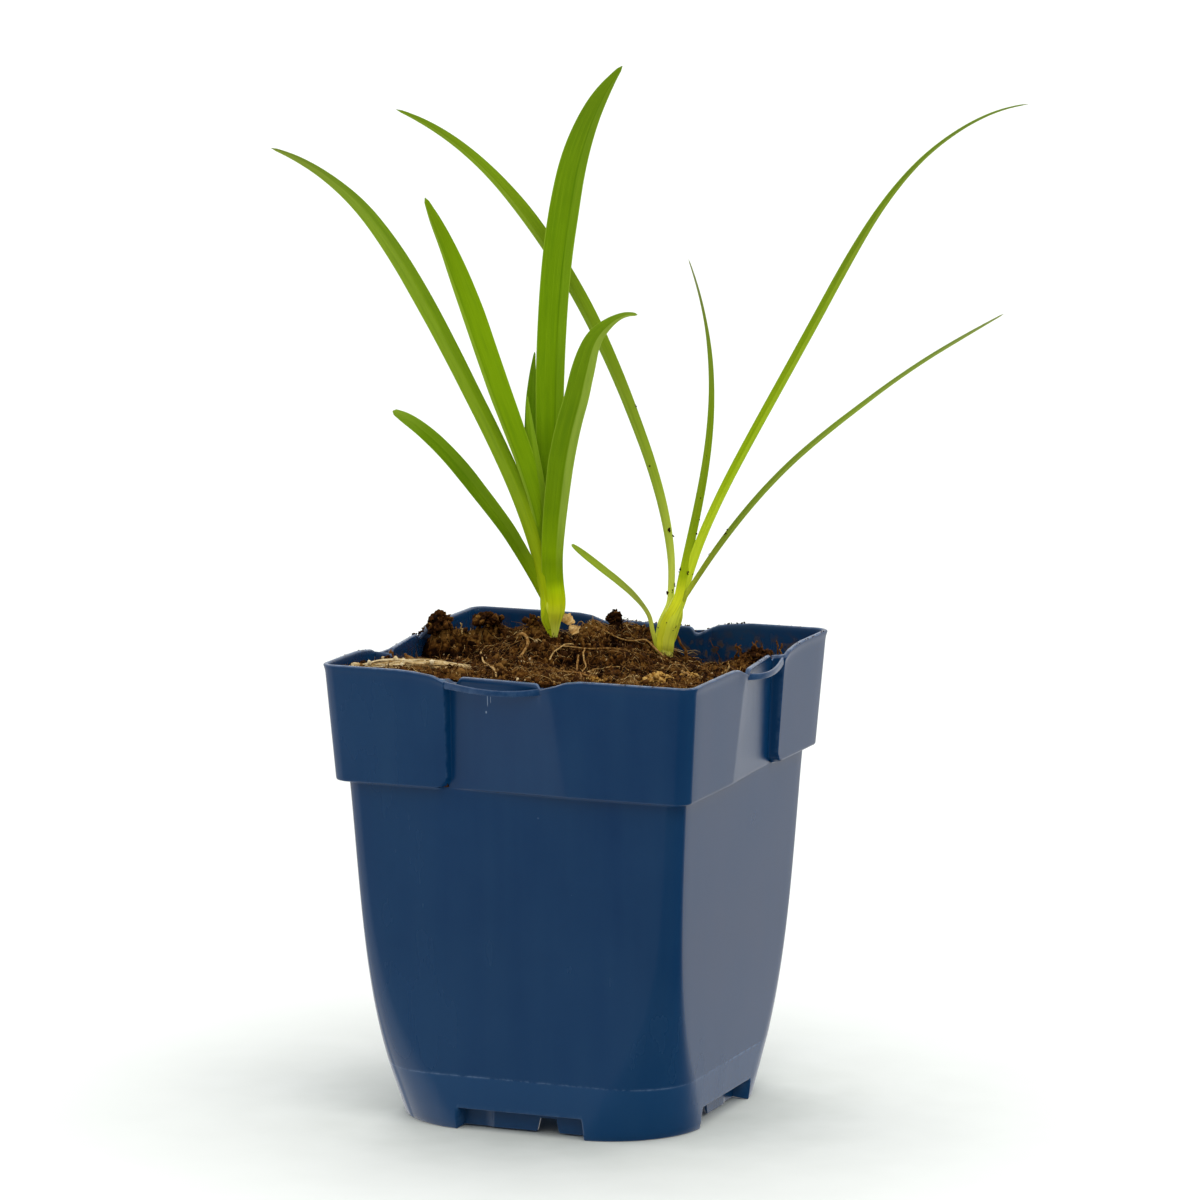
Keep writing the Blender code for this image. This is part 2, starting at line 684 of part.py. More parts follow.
def lumpMesh(name, centre, size, seed):
    """An uneven lump: a sphere whose points move in and out by a seeded share of the radius."""
    work = bmesh.new()
    bmesh.ops.create_icosphere(work, subdivisions=2, radius=1.0)
    dice = np.random.default_rng(seed)
    shares = dice.uniform(0.86, 1.08, len(work.verts))
    for vert, share in zip(work.verts, shares):
        vert.co = Vector((vert.co.x * size[0], vert.co.y * size[1], vert.co.z * size[2])) * share * mm
        vert.co += Vector(centre)
    mesh = bpy.data.meshes.new(name)
    work.to_mesh(mesh)
    work.free()
    return mesh


def scaleMesh(name, foot, lean, width, height):
    """A papery dried scale: a thin curved shell standing on its foot."""
    rings = []
    rows = 7
    for k in range(rows):
        t = k / (rows - 1)
        half = 0.5 * width * mm * (0.55 + 0.9 * t - 1.1 * t * t)
        thick = 0.45 * mm
        z = foot[2] + height * mm * t
        x = foot[0] + lean[0] * mm * t * t
        y = foot[1] + lean[1] * mm * t * t
        ring = []
        outline = ((-1, 0), (-0.5, -1), (0, -1.3), (0.5, -1), (1, 0), (0.5, 0), (0, -0.3), (-0.5, 0))
        for a, b in outline:
            bow = 0.35 * half * (1.0 - a * a)
            ring.append((x + a * half, y - bow + (b + 0.5) * thick, z))
        rings.append(ring)
    mesh = loftRings(name, rings)
    setNormals(mesh)
    return mesh


def buildLitter(collection, stand, peat):
    """Dead stalk, scales, lumps and roots, each resting on the peat."""
    path = followPeat(((-37.5, -33.5, 0.4), (-33.0, -33.0, 0.5), (-27.0, -30.5, 0.6), (-20.0, -27.0, 0.5),
                       (-13.5, -23.5, 0.4)))
    mesh = strawMesh("straw_stalk", path, (1.6, 5.2, 5.6, 4.4, 1.8), (1.2, 2.0, 2.2, 2.0, 1.0))
    addObject("straw_stalk", settle(mesh, peat), "straw", collection, stand)
    for name, root in roots.items():
        radius = root["radius"] * mm
        points = followPeat(root["path"])
        radii = [radius * mix(1.0, 0.6, k / (len(points) - 1)) for k in range(len(points))]
        mesh = rodMesh(name, points, radii)
        addObject(name, settle(mesh, peat), "root", collection, stand)
    for name, (x, y, size, seed, slot) in lumps.items():
        mesh = lumpMesh(name, (x * mm, y * mm, potHeight), size, seed)
        addObject(name, settle(mesh, peat), slot, collection, stand)
    for name, (x, y, lean, width, height) in scales.items():
        mesh = scaleMesh(name, (x * mm, y * mm, potHeight), lean, width, height)
        addObject(name, settle(mesh, peat), "scale", collection, stand)


def main():
    pots = newCollection("potted_agapanthus")
    stand = bpy.data.objects.new("stand", None)
    pots.objects.link(stand)
    stand.location = (potAxis[0], potAxis[1], 0.0)
    bpy.context.view_layer.update()
    buildPot(pots, stand)
    peat = buildPeat(pots, stand)
    for name in stems:
        addObject(name, stemSolid(name, 0.0, stand, False), "shoot", pots, stand)
    for name, leaf in leaves.items():
        addObject(name, leafMesh(name, leaf), "leaf", pots, stand)
    buildLitter(pots, stand, peat)


clearScene()
materials = {name: newMaterial(name) for name in colours}
cutters = newCollection("cutters")
main()
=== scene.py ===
# Potted agapanthus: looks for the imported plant.  Metres; every shape below is worked out in
# millimetres about the pot's axis and moved to the row's frame when its mesh is made.
import math

import bpy
import numpy as np
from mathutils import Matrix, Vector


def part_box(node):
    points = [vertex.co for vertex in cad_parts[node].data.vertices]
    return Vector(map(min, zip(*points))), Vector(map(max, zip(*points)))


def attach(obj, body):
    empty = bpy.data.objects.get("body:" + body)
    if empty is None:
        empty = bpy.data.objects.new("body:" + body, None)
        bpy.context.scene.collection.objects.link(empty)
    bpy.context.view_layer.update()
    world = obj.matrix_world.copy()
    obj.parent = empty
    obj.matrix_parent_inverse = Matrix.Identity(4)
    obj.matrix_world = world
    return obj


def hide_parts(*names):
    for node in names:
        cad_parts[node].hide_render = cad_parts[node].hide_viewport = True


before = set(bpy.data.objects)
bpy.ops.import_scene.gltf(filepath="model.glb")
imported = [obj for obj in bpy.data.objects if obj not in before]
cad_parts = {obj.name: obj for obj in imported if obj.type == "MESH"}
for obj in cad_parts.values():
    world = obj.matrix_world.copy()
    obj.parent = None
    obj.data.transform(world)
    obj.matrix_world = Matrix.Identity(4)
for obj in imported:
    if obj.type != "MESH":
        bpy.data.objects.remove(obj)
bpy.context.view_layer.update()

mm = 0.001
potLow, potHigh = (np.array(corner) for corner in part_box("pot"))
potAxis = np.array([*(0.5 * (potLow + potHigh))[:2], 0.0])
potTop = potHigh[2] / mm
scene = bpy.context.scene
print("frame loaded, pot", np.round((potHigh - potLow) / mm, 1), "mm")


# small number tools, all on whole arrays
def smoothStep(t):
    t = np.clip(t, 0.0, 1.0)
    return t * t * (3.0 - 2.0 * t)


def mix(a, b, t):
    return a + (b - a) * t


def unit(v):
    return v / np.maximum(np.linalg.norm(v, axis=-1, keepdims=True), 1e-12)


def hash01(cells, seed):
    # a repeatable random number for each whole-number cell: its coordinates are mixed by multiply and xor
    h = np.full(cells.shape[:-1], seed * 2654435761 % 4294967296, np.uint64)
    for axis, prime in zip(range(cells.shape[-1]), (374761393, 668265263, 2147483647)):
        h = h ^ ((cells[..., axis].astype(np.int64) % 65536).astype(np.uint64) * np.uint64(prime))
        h = (h ^ (h >> np.uint64(13))) * np.uint64(1274126177) % np.uint64(4294967296)
        h = h ^ (h >> np.uint64(16))
    return (h % np.uint64(1000003)).astype(float) / 1000003.0


def valueNoise(points, seed):
    # lattice noise from -1 to 1: corner values blended by the smooth step, in two or three dimensions
    low = np.floor(points).astype(np.int64)
    t = points - low
    t = t * t * (3.0 - 2.0 * t)
    total = 0.0
    for corner in range(2 ** points.shape[-1]):
        bits = np.array([(corner >> axis) & 1 for axis in range(points.shape[-1])])
        weight = np.prod(np.where(bits, t, 1.0 - t), axis=-1)
        total = total + weight * hash01(low + bits, seed)
    return 2.0 * total - 1.0


def fractal(points, seed, octaves=4, gain=0.5):
    # value noise summed over doubling frequencies
    total, size = 0.0, 1.0
    for k in range(octaves):
        total = total + size * valueNoise(points * 2.0 ** k, seed + 17 * k)
        size *= gain
    return total


def cells(points, seed):
    # cellular noise in the plane: one jittered point a cell; the nearest one's distance and random number
    low = np.floor(points).astype(np.int64)
    best = np.full(points.shape[:-1], 9.0)
    mark = np.zeros(points.shape[:-1])
    for dx in (-1, 0, 1):
        for dy in (-1, 0, 1):
            cell = low + np.array([dx, dy])
            spot = cell + np.stack([hash01(cell, seed), hash01(cell, seed + 1)], -1)
            away = np.linalg.norm(points - spot, axis=-1)
            nearer = away < best
            best = np.where(nearer, away, best)
            mark = np.where(nearer, hash01(cell, seed + 2), mark)
    return best, mark


# mesh tools
def gridQuads(rows, columns, closeRows=False, closeColumns=False):
    r = np.arange(rows if closeRows else rows - 1)[:, None]
    c = np.arange(columns if closeColumns else columns - 1)[None, :]
    rNext, cNext = (r + 1) % rows, (c + 1) % columns
    quads = np.stack([r * columns + c, r * columns + cNext, rNext * columns + cNext, rNext * columns + c], -1)
    return quads.reshape(-1, 4)


def fan(ring, centre):
    # triangles from a ring of vertex numbers to one centre vertex
    return np.stack([ring, np.roll(ring, -1), np.full(len(ring), centre)], -1)


def closedTube(ring, ends=None):
    # rows of points joined all round, each end closed by a fan to one point: its middle, or the one given
    rows, columns = ring.shape[:2]
    ends = [ring[0].mean(0), ring[-1].mean(0)] if ends is None else ends
    first = np.arange(columns)
    last = first + (rows - 1) * columns
    tris = np.concatenate([fan(first, rows * columns)[:, ::-1], fan(last, rows * columns + 1)])
    return np.concatenate([ring.reshape(-1, 3), ends]), gridQuads(rows, columns, closeColumns=True), tris


def outwardFaces(points, quads, tris):
    # turn every face round if the closed surface holds a negative volume
    corners = np.concatenate([quads[:, [0, 1, 2]], quads[:, [0, 2, 3]], tris]) if len(quads) else tris
    a, b, c = (points[corners[:, k]] for k in range(3))
    if np.einsum("ij,ij->i", a, np.cross(b, c)).sum() < 0.0:
        return quads[:, ::-1], tris[:, ::-1]
    return quads, tris


def makePiece(name, points, quads, tris, material, replaces=(), uv=None, layers=None, flat=False):
    # points in millimetres about the pot's axis become one mesh object that rides on the plant's body
    quads = np.asarray(quads, np.int32).reshape(-1, 4)
    tris = np.asarray(tris, np.int32).reshape(-1, 3)
    quads, tris = outwardFaces(points, quads, tris)
    mesh = bpy.data.meshes.new(name)
    mesh.vertices.add(len(points))
    mesh.vertices.foreach_set("co", (points * mm + potAxis).astype(np.float32).ravel())
    loops = np.concatenate([quads.ravel(), tris.ravel()]).astype(np.int32)
    sizes = np.concatenate([np.full(len(quads), 4), np.full(len(tris), 3)]).astype(np.int32)
    mesh.loops.add(len(loops))
    mesh.loops.foreach_set("vertex_index", loops)
    mesh.polygons.add(len(sizes))
    mesh.polygons.foreach_set("loop_start", (np.cumsum(sizes) - sizes).astype(np.int32))
    mesh.update(calc_edges=True)
    if uv is not None:
        layer = mesh.uv_layers.new(name="grain")
        layer.data.foreach_set("uv", uv[loops].astype(np.float32).ravel())
    for layerName, values in (layers or {}).items():
        layer = mesh.attributes.new(layerName, "FLOAT", "POINT")
        layer.data.foreach_set("value", np.broadcast_to(values, len(points)).astype(np.float32))
    if not flat:
        mesh.shade_smooth()
    mesh.materials.append(material)
    piece = bpy.data.objects.new(name, mesh)
    scene.collection.objects.link(piece)
    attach(piece, "root")
    if replaces:
        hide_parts(*replaces)
    return piece


def joined(shapes):
    # several closed shapes (points, quads, tris) as one, each with its faces outward
    points, quads, tris, count = [], [], [], 0
    for where, fours, threes in shapes:
        fours, threes = outwardFaces(where, fours, threes)
        points.append(where)
        quads.append(fours + count)
        tris.append(threes + count)
        count += len(where)
    return np.concatenate(points), np.concatenate(quads), np.concatenate(tris)


def roundedPath(points, count):
    # a smooth curve through a few points: Catmull-Rom, with the end points doubled
    p = np.asarray(points, float)
    p = np.concatenate([2 * p[:1] - p[1:2], p, 2 * p[-1:] - p[-2:-1]])
    x = np.linspace(0.0, len(p) - 3 - 1e-9, count)
    k = x.astype(int)
    t = (x - k)[:, None]
    a, b, c, d = p[k], p[k + 1], p[k + 2], p[k + 3]
    square, cube = 2 * a - 5 * b + 4 * c - d, 3 * b - a - 3 * c + d
    return 0.5 * (2 * b + (c - a) * t + square * t ** 2 + cube * t ** 3)


def tubes(paths, radii, sides, reference=(0.31, 0.22, 0.92)):
    # round strands: paths (strand, station, 3) and radii (strand, station) give rings square to each path
    along = unit(np.gradient(paths, axis=1))
    across = unit(np.cross(along, np.asarray(reference)))
    up = np.cross(across, along)
    turn = 2.0 * np.pi * np.arange(sides) / sides
    ring = (np.cos(turn)[:, None] * across[:, :, None, :] + np.sin(turn)[:, None] * up[:, :, None, :])
    points = paths[:, :, None, :] + radii[:, :, None, None] * ring
    strands, stations = paths.shape[:2]
    each = stations * sides
    quads = gridQuads(stations, sides, closeColumns=True)
    quads = (quads[None] + (np.arange(strands) * each)[:, None, None]).reshape(-1, 4)
    first = np.arange(sides)
    caps = []
    for k in range(1, sides - 1):
        caps.append([first[0], first[k + 1], first[k]])
        caps.append([each - sides, each - sides + k, each - sides + k + 1])
    caps = (np.array(caps)[None] + (np.arange(strands) * each)[:, None, None]).reshape(-1, 3)
    return points.reshape(-1, 3), quads, caps


# materials: a few helpers, the shared node groups, then one function for each finish
def wire(tree, node, wires):
    # link or set a node's inputs, by name or number
    for key, value in wires.items():
        if isinstance(value, bpy.types.NodeSocket):
            tree.links.new(value, node.inputs[key])
        else:
            node.inputs[key].default_value = value


def place(tree, kind, wires=None, **settings):
    # add a node, set its properties, then its inputs
    made = tree.nodes.new(kind)
    for key, value in settings.items():
        setattr(made, key, value)
    wire(tree, made, wires or {})
    return made


def newGroup(name, **takes):
    # a shared group: it takes vectors (None, or three numbers) and plain values, and gives one mask
    group = bpy.data.node_groups.new(name, "ShaderNodeTree")
    for socket, default in takes.items():
        kind = "NodeSocketFloat" if isinstance(default, float) else "NodeSocketVector"
        made = group.interface.new_socket(socket, in_out="INPUT", socket_type=kind)
        if default is not None:
            made.default_value = default
    group.interface.new_socket("Mask", in_out="OUTPUT", socket_type="NodeSocketFloat")
    start, end = group.nodes.new("NodeGroupInput"), group.nodes.new("NodeGroupOutput")
    return group, start.outputs, end.inputs["Mask"]


def useGroup(tree, group, **wires):
    return place(tree, "ShaderNodeGroup", wires, node_tree=group).outputs[0]


def ramp(tree, factor, stops):
    made = tree.nodes.new("ShaderNodeValToRGB")
    elements = made.color_ramp.elements
    for k, (position, colour) in enumerate(stops):
        element = elements[k] if k < 2 else elements.new(position)
        element.position = position
        element.color = (*colour, 1.0)
    tree.links.new(factor, made.inputs["Fac"])
    return made.outputs["Color"]


def mixColour(tree, factor, a, b):
    # a Mix node set to colour takes its colours at inputs 6 and 7 and gives the result at output 2
    a, b = (value if isinstance(value, bpy.types.NodeSocket) else (*value, 1.0) for value in (a, b))
    return place(tree, "ShaderNodeMix", {0: factor, 6: a, 7: b}, data_type="RGBA").outputs[2]


def sums(tree, operation, a, b, clamp=False):
    made = place(tree, "ShaderNodeMath", {0: a, 1: b}, operation=operation, use_clamp=clamp)
    return made.outputs[0]


def times(tree, a, b, clamp=False):
    return sums(tree, "MULTIPLY", a, b, clamp)


def plus(tree, a, b):
    return sums(tree, "ADD", a, b)


def minus(tree, a, b):
    return sums(tree, "SUBTRACT", a, b)


def spread(tree, value, low, high, outLow=0.0, outHigh=1.0):
    made = place(tree, "ShaderNodeMapRange", {"Value": value, "From Min": low, "From Max": high,
                                              "To Min": outLow, "To Max": outHigh})
    return made.outputs["Result"]


def layerValue(tree, name):
    return place(tree, "ShaderNodeAttribute", attribute_name=name).outputs["Fac"]


def blankMaterial(name):
    material = bpy.data.materials.new(name)
    material.use_nodes = True
    tree = material.node_tree
    coords = place(tree, "ShaderNodeTexCoord").outputs
    return material, tree, coords["Object"], coords["UV"]


def dress(tree, colour, rough, relief, strength, depth, shine):
    # wire the shader's colour, roughness and bump, and set how much it shines
    bump = place(tree, "ShaderNodeBump", {"Height": relief, "Strength": strength, "Distance": depth})
    wire(tree, tree.nodes["Principled BSDF"], {"Base Color": colour, "Roughness": rough,
                                               "Normal": bump.outputs[0], "Specular IOR Level": shine})


def mottleGroup():
    # soft blotches: fractal noise on a stretched position, spread between two levels
    group, takes, mask = newGroup("mottle", Position=None, Stretch=(1.0, 1.0, 1.0), Scale=100.0,
                                  Detail=4.0, Low=0.35, High=0.65)
    moved = place(group, "ShaderNodeVectorMath", {0: takes["Position"], 1: takes["Stretch"]},
                  operation="MULTIPLY")
    noise = place(group, "ShaderNodeTexNoise", {"Vector": moved.outputs[0], "Scale": takes["Scale"],
                                                "Detail": takes["Detail"]})
    group.links.new(spread(group, noise.outputs["Fac"], takes["Low"], takes["High"]), mask)
    return group


def brokenGroup():
    # edge wear and painted highlight: a mask along an edge, broken up and thinned by noise
    group, takes, mask = newGroup("brokenWearAndHighlight", Edge=0.0, Position=None, Scale=400.0, Amount=0.6)
    noise = place(group, "ShaderNodeTexNoise", {"Vector": takes["Position"], "Scale": takes["Scale"],
                                                "Detail": 5.0, "Roughness": 0.65})
    patch = spread(group, noise.outputs["Fac"], 0.38, 0.62)
    wearAndHighlight = times(group, takes["Edge"], patch)
    group.links.new(times(group, wearAndHighlight, takes["Amount"], clamp=True), mask)
    return group


def speckGroup():
    # scattered small spots: cellular cells whose random number is low enough keep a spot at their middle
    group, takes, mask = newGroup("specks", Position=None, Scale=300.0, Share=0.1, Size=0.3)
    spots = place(group, "ShaderNodeTexVoronoi", {"Vector": takes["Position"], "Scale": takes["Scale"]})
    mark = place(group, "ShaderNodeSeparateColor", {0: spots.outputs["Color"]}).outputs[0]
    kept = sums(group, "LESS_THAN", mark, takes["Share"])
    near = sums(group, "LESS_THAN", spots.outputs["Distance"], takes["Size"])
    group.links.new(times(group, kept, near), mask)
    return group


def strandGroup():
    # long grain: noise squeezed across and drawn out along a surface's own map
    group, takes, mask = newGroup("strands", Map=None, Across=8.0, Along=0.6, Low=0.3, High=0.7)
    size = place(group, "ShaderNodeCombineXYZ", {0: takes["Across"], 1: takes["Along"], 2: 1.0})
    moved = place(group, "ShaderNodeVectorMath", {0: takes["Map"], 1: size.outputs[0]}, operation="MULTIPLY")
    noise = place(group, "ShaderNodeTexNoise", {"Vector": moved.outputs[0], "Scale": 1.0, "Detail": 3.0})
    group.links.new(spread(group, noise.outputs["Fac"], takes["Low"], takes["High"]), mask)
    return group


mottle, brokenWearAndHighlight, specks, strands = mottleGroup(), brokenGroup(), speckGroup(), strandGroup()

# the pot, in millimetres; s runs along a face from its middle, z is height
pot = dict(
    wall=0.9, rimHalf=45.0, collarFootHalf=43.1, collarFootZ=80.2, collarRound=3.3, ledge=0.4,
    bodyTopHalf=40.9, bodyTopRound=3.7, creaseZ=12.8, creaseHalf=37.2, creaseRound=15.2,
    floorHalf=36.0, floorRound=22.4,
    step=-14.8, stepRun=0.5, stepCorner=2.5, creaseTop=10.5, creaseFoot=14.1, panelTop=3.0, panelFoot=2.15,
    creaseSoft=0.2, dipFrom=100.0, flare=0.3, flareFrom=105.3,
    rimRound=0.45, roofHigh=5.12, roofSoft=0.12, padHigh=3.0, wellHigh=5.9,
    notchFoot=15.6, notchTop=15.1, notchHigh=5.0, notchWall=32.85, bayEnd=-7.9, bayDeep=0.5,
    gap=(3.6, 7.6), gapFlare=0.7, gapHigh=3.7, ringLift=0.5,
    wellHalf=31.9, wellRound=24.0, drains=((0.0, 4.0), (17.0, 3.0)),
    dips=((-26.0, 0.0), (-20.0, 0.4), (-17.2, 0.95), (-14.9, 1.9), (-13.6, 2.6), (-12.5, 2.6), (-11.7, 1.4),
          (-11.0, 1.2), (0.0, 1.15), (7.1, 1.1), (8.0, 1.25), (8.6, 2.4), (9.6, 2.1), (12.4, 1.35),
          (14.9, 0.45), (18.5, 0.0)),
    lip=dict(ends=(-15.6, 9.2), top=104.95, low=103.3, sag=1.0, bow=2.0, skew=0.3, thick=0.8, sunk=0.35),
    blue=(0.0010, 0.0335, 0.105), deep=(0.0004, 0.027, 0.092), faded=(0.005, 0.045, 0.118),
    lower=(0.008, 0.056, 0.155), chalkAndHighlight=(0.10, 0.17, 0.30), scuff=(0.20, 0.27, 0.38),
    soil=(0.05, 0.028, 0.014),
    # scratches on the front face: (x, lowest z, highest z, width)
    scratches=((-4.9, 99.4, 102.4, 0.09), (-4.1, 100.3, 102.0, 0.06), (-5.3, 97.9, 98.5, 0.16)),
)
faceNormals = np.array([[0, -1], [1, 0], [0, 1], [-1, 0]], float)
faceTravels = np.array([[1, 0], [0, 1], [-1, 0], [0, -1]], float)
faceSenses = (1, -1, 1, -1)            # on every other face the panel runs the other way


def sectionAt(z):
    # half width and corner radius of the outside: straight collar, curved body, straight skirt
    p = pot
    under = p["collarFootZ"] - p["ledge"]
    fall = np.clip((under - z) / (under - p["creaseZ"]), 0.0, 1.0)
    half = mix(p["bodyTopHalf"], p["creaseHalf"], fall ** 0.91)
    radius = mix(p["bodyTopRound"], p["creaseRound"], fall ** 3.8)
    low = np.clip(z / p["creaseZ"], 0.0, 1.0)
    half = np.where(z < p["creaseZ"], mix(p["floorHalf"], p["creaseHalf"], low), half)
    radius = np.where(z < p["creaseZ"], mix(p["floorRound"], p["creaseRound"], low), radius)
    return half, radius


def collarHalf(z):
    rise = np.clip((z - pot["collarFootZ"]) / (potTop - pot["collarFootZ"]), 0.0, 1.0)
    return mix(pot["collarFootHalf"], pot["rimHalf"], rise)


def panelDepth(s, z, shift=0.0):
    # how far a collar face is set in: nothing, a rounded step, then a slope back to nothing at the crease;
    # the step's line turns away in a quarter round at the collar's lower edge
    p = pot
    z = np.maximum(z, p["collarFootZ"])
    rise = (z - p["collarFootZ"]) / (potTop - p["collarFootZ"])
    crease = mix(p["creaseFoot"], p["creaseTop"], rise)
    r = p["stepCorner"]
    below = np.clip(p["collarFootZ"] + r - z, 0.0, r)
    stepAt = p["step"] - r + np.sqrt(r * r - below * below) + shift
    rising = smoothStep((s - stepAt) / p["stepRun"])
    left = crease - s
    soft = 0.5 * (left + np.sqrt(left * left + p["creaseSoft"] ** 2))
    return mix(p["panelFoot"], p["panelTop"], rise) * rising * soft / (crease - p["step"] - p["stepRun"])


def rimDrop(s):
    # how far the rim dips at a place along the face, its corners eased over half a millimetre
    x, y = np.array(pot["dips"]).T
    return np.mean([np.interp(s + d, x, y) for d in (-0.3, -0.15, 0.0, 0.15, 0.3)], axis=0)


def faceStops():
    # places along a face where its outline is sampled: close together at steps, notch ends and gap edges
    runs = ((-18.0, -15.3, 0.45), (-15.15, -14.0, 0.115), (-13.8, -10.8, 0.3), (-10.2, -8.4, 0.9),
            (-8.1, -6.9, 0.3), (-6.0, 2.2, 1.35), (2.7, 3.8, 0.22), (4.4, 7.0, 0.85), (7.4, 8.8, 0.2),
            (9.1, 14.8, 0.55), (14.95, 15.85, 0.15), (16.3, 18.0, 0.55))
    stops = np.concatenate([np.arange(a, b, step) for a, b, step in runs] + [[-15.9, -15.75, 18.0]])
    return np.unique(np.round(stops, 3))


def outline(half, radius, stops):
    # one face from corner middle to corner middle: fixed stops on the flat part, then shares of what is
    # left of the flat and of the corner's arc; half and radius are columns, one row for each level
    def halfFace(fixed):
        straight = half - radius

        def reach(s):
            over = np.clip((s - straight) / radius, 0.0, 1.0)
            return np.where(s <= straight, s, straight + radius * np.arcsin(over))
        start, turn = reach(fixed[-1]), np.maximum(straight, reach(20.0))
        finish = straight + radius * math.pi / 4
        q = np.concatenate([reach(fixed[None, :] + 0.0 * half),
                            mix(start, turn, np.linspace(0, 1, 7)[None, 1:]),
                            mix(turn, finish, np.linspace(0, 1, 8)[None, 1:])], axis=1)
        angle = np.maximum(q - straight, 0.0) / radius
        s = np.where(q <= straight, q, straight + radius * np.sin(angle))
        return s, half - radius * (1.0 - np.cos(angle))
    right, rightOut = halfFace(stops[stops >= 0.0])
    left, leftOut = halfFace(-stops[stops < 0.0][::-1])
    s = np.concatenate([-left[:, ::-1], right[:, :-1]], axis=1)
    out = np.concatenate([leftOut[:, ::-1], rightOut[:, :-1]], axis=1)
    return s, out


def around(s, out, z):
    # carry a face's table of (along, out, height) round the four faces; every other face is mirrored
    rings = []
    for normal, travel, sense in zip(faceNormals, faceTravels, faceSenses):
        flat = out[..., None] * normal + (s * sense)[..., None] * travel
        ring = np.concatenate([flat, z[..., None]], axis=-1)
        rings.append(turned(ring, sense))
    return np.concatenate(rings, axis=1)


def turned(table, sense):
    # a face's columns in their own order, or run the other way from the same corner
    return table if sense > 0 else np.concatenate([table[:, :0:-1], table[:, :1]], axis=1)


def potRows():
    # the wall's section as rows (kind, height or share, inset): well side, foot, skirt, body, ledge, collar,
    # rim, and back down inside; kinds: w well wall, f foot up to the notch roof, s skirt and body, g ledge,
    # c collar, r rim round, i inside collar, h inside ledge, b inside body, p floor pad, u well's outer side
    rows = [("w", 0.5, 0.0), ("w", 0.04, 0.0)]
    rows += [("f", 0.0, 0.35), ("f", 0.02, 0.1)]
    rows += [("f", share, 0.0) for share in (0.06, 0.3, 0.6, 0.9, 0.97)]
    rows += [("s", z, 0.0) for z in (pot["notchHigh"], pot["roofHigh"], 5.25, 6.2, 8.5, 11.0, 12.3, 12.6)]
    rows += [("s", z, 0.0) for z in (pot["creaseZ"], 13.0, 13.4, 15.0)]
    rows += [("s", z, 0.0) for z in np.arange(17.5, 79.0, 2.8)]
    rows += [("g", z, g) for z, g in ((79.2, 0.0), (79.6, 0.02), (79.75, 0.1), (79.9, 0.5), (80.0, 0.8),
                                      (80.12, 0.93), (80.35, 0.99))]
    rows += [("c", z, 0.0) for z in (80.6, 80.9, 81.2, 81.6, 82.0, 82.4, 82.8, 83.4)]
    rows += [("c", z, 0.0) for z in (85.0, 88.0, 91.0, 94.0, 97.0)]
    rows += [("c", z, 0.0) for z in np.linspace(pot["dipFrom"], potTop - pot["rimRound"], 8)]
    rows += [("r", turn, 0.0) for turn in np.radians((25, 55, 90, 125, 155))]
    rows += [("i", z, 0.0) for z in np.linspace(potTop - pot["rimRound"], pot["dipFrom"], 8)]
    rows += [("i", z, 0.0) for z in (97.0, 93.0, 89.0, 85.0, 82.5, 81.6)]
    rows += [("h", z, g) for z, g in ((81.2, 0.9), (80.95, 0.5), (80.8, 0.1), (80.5, 0.0))]
    rows += [("b", z, 0.0) for z in (74.0, 64.0, 54.0, 44.0, 34.0, 26.0, 19.0, 13.0)]
    rows += [("p", 1.0, 0.0), ("p", 0.0, 0.0), ("u", 0.0, 0.1), ("u", 1.0, 0.1), ("u", 1.0, 0.9)]
    return rows


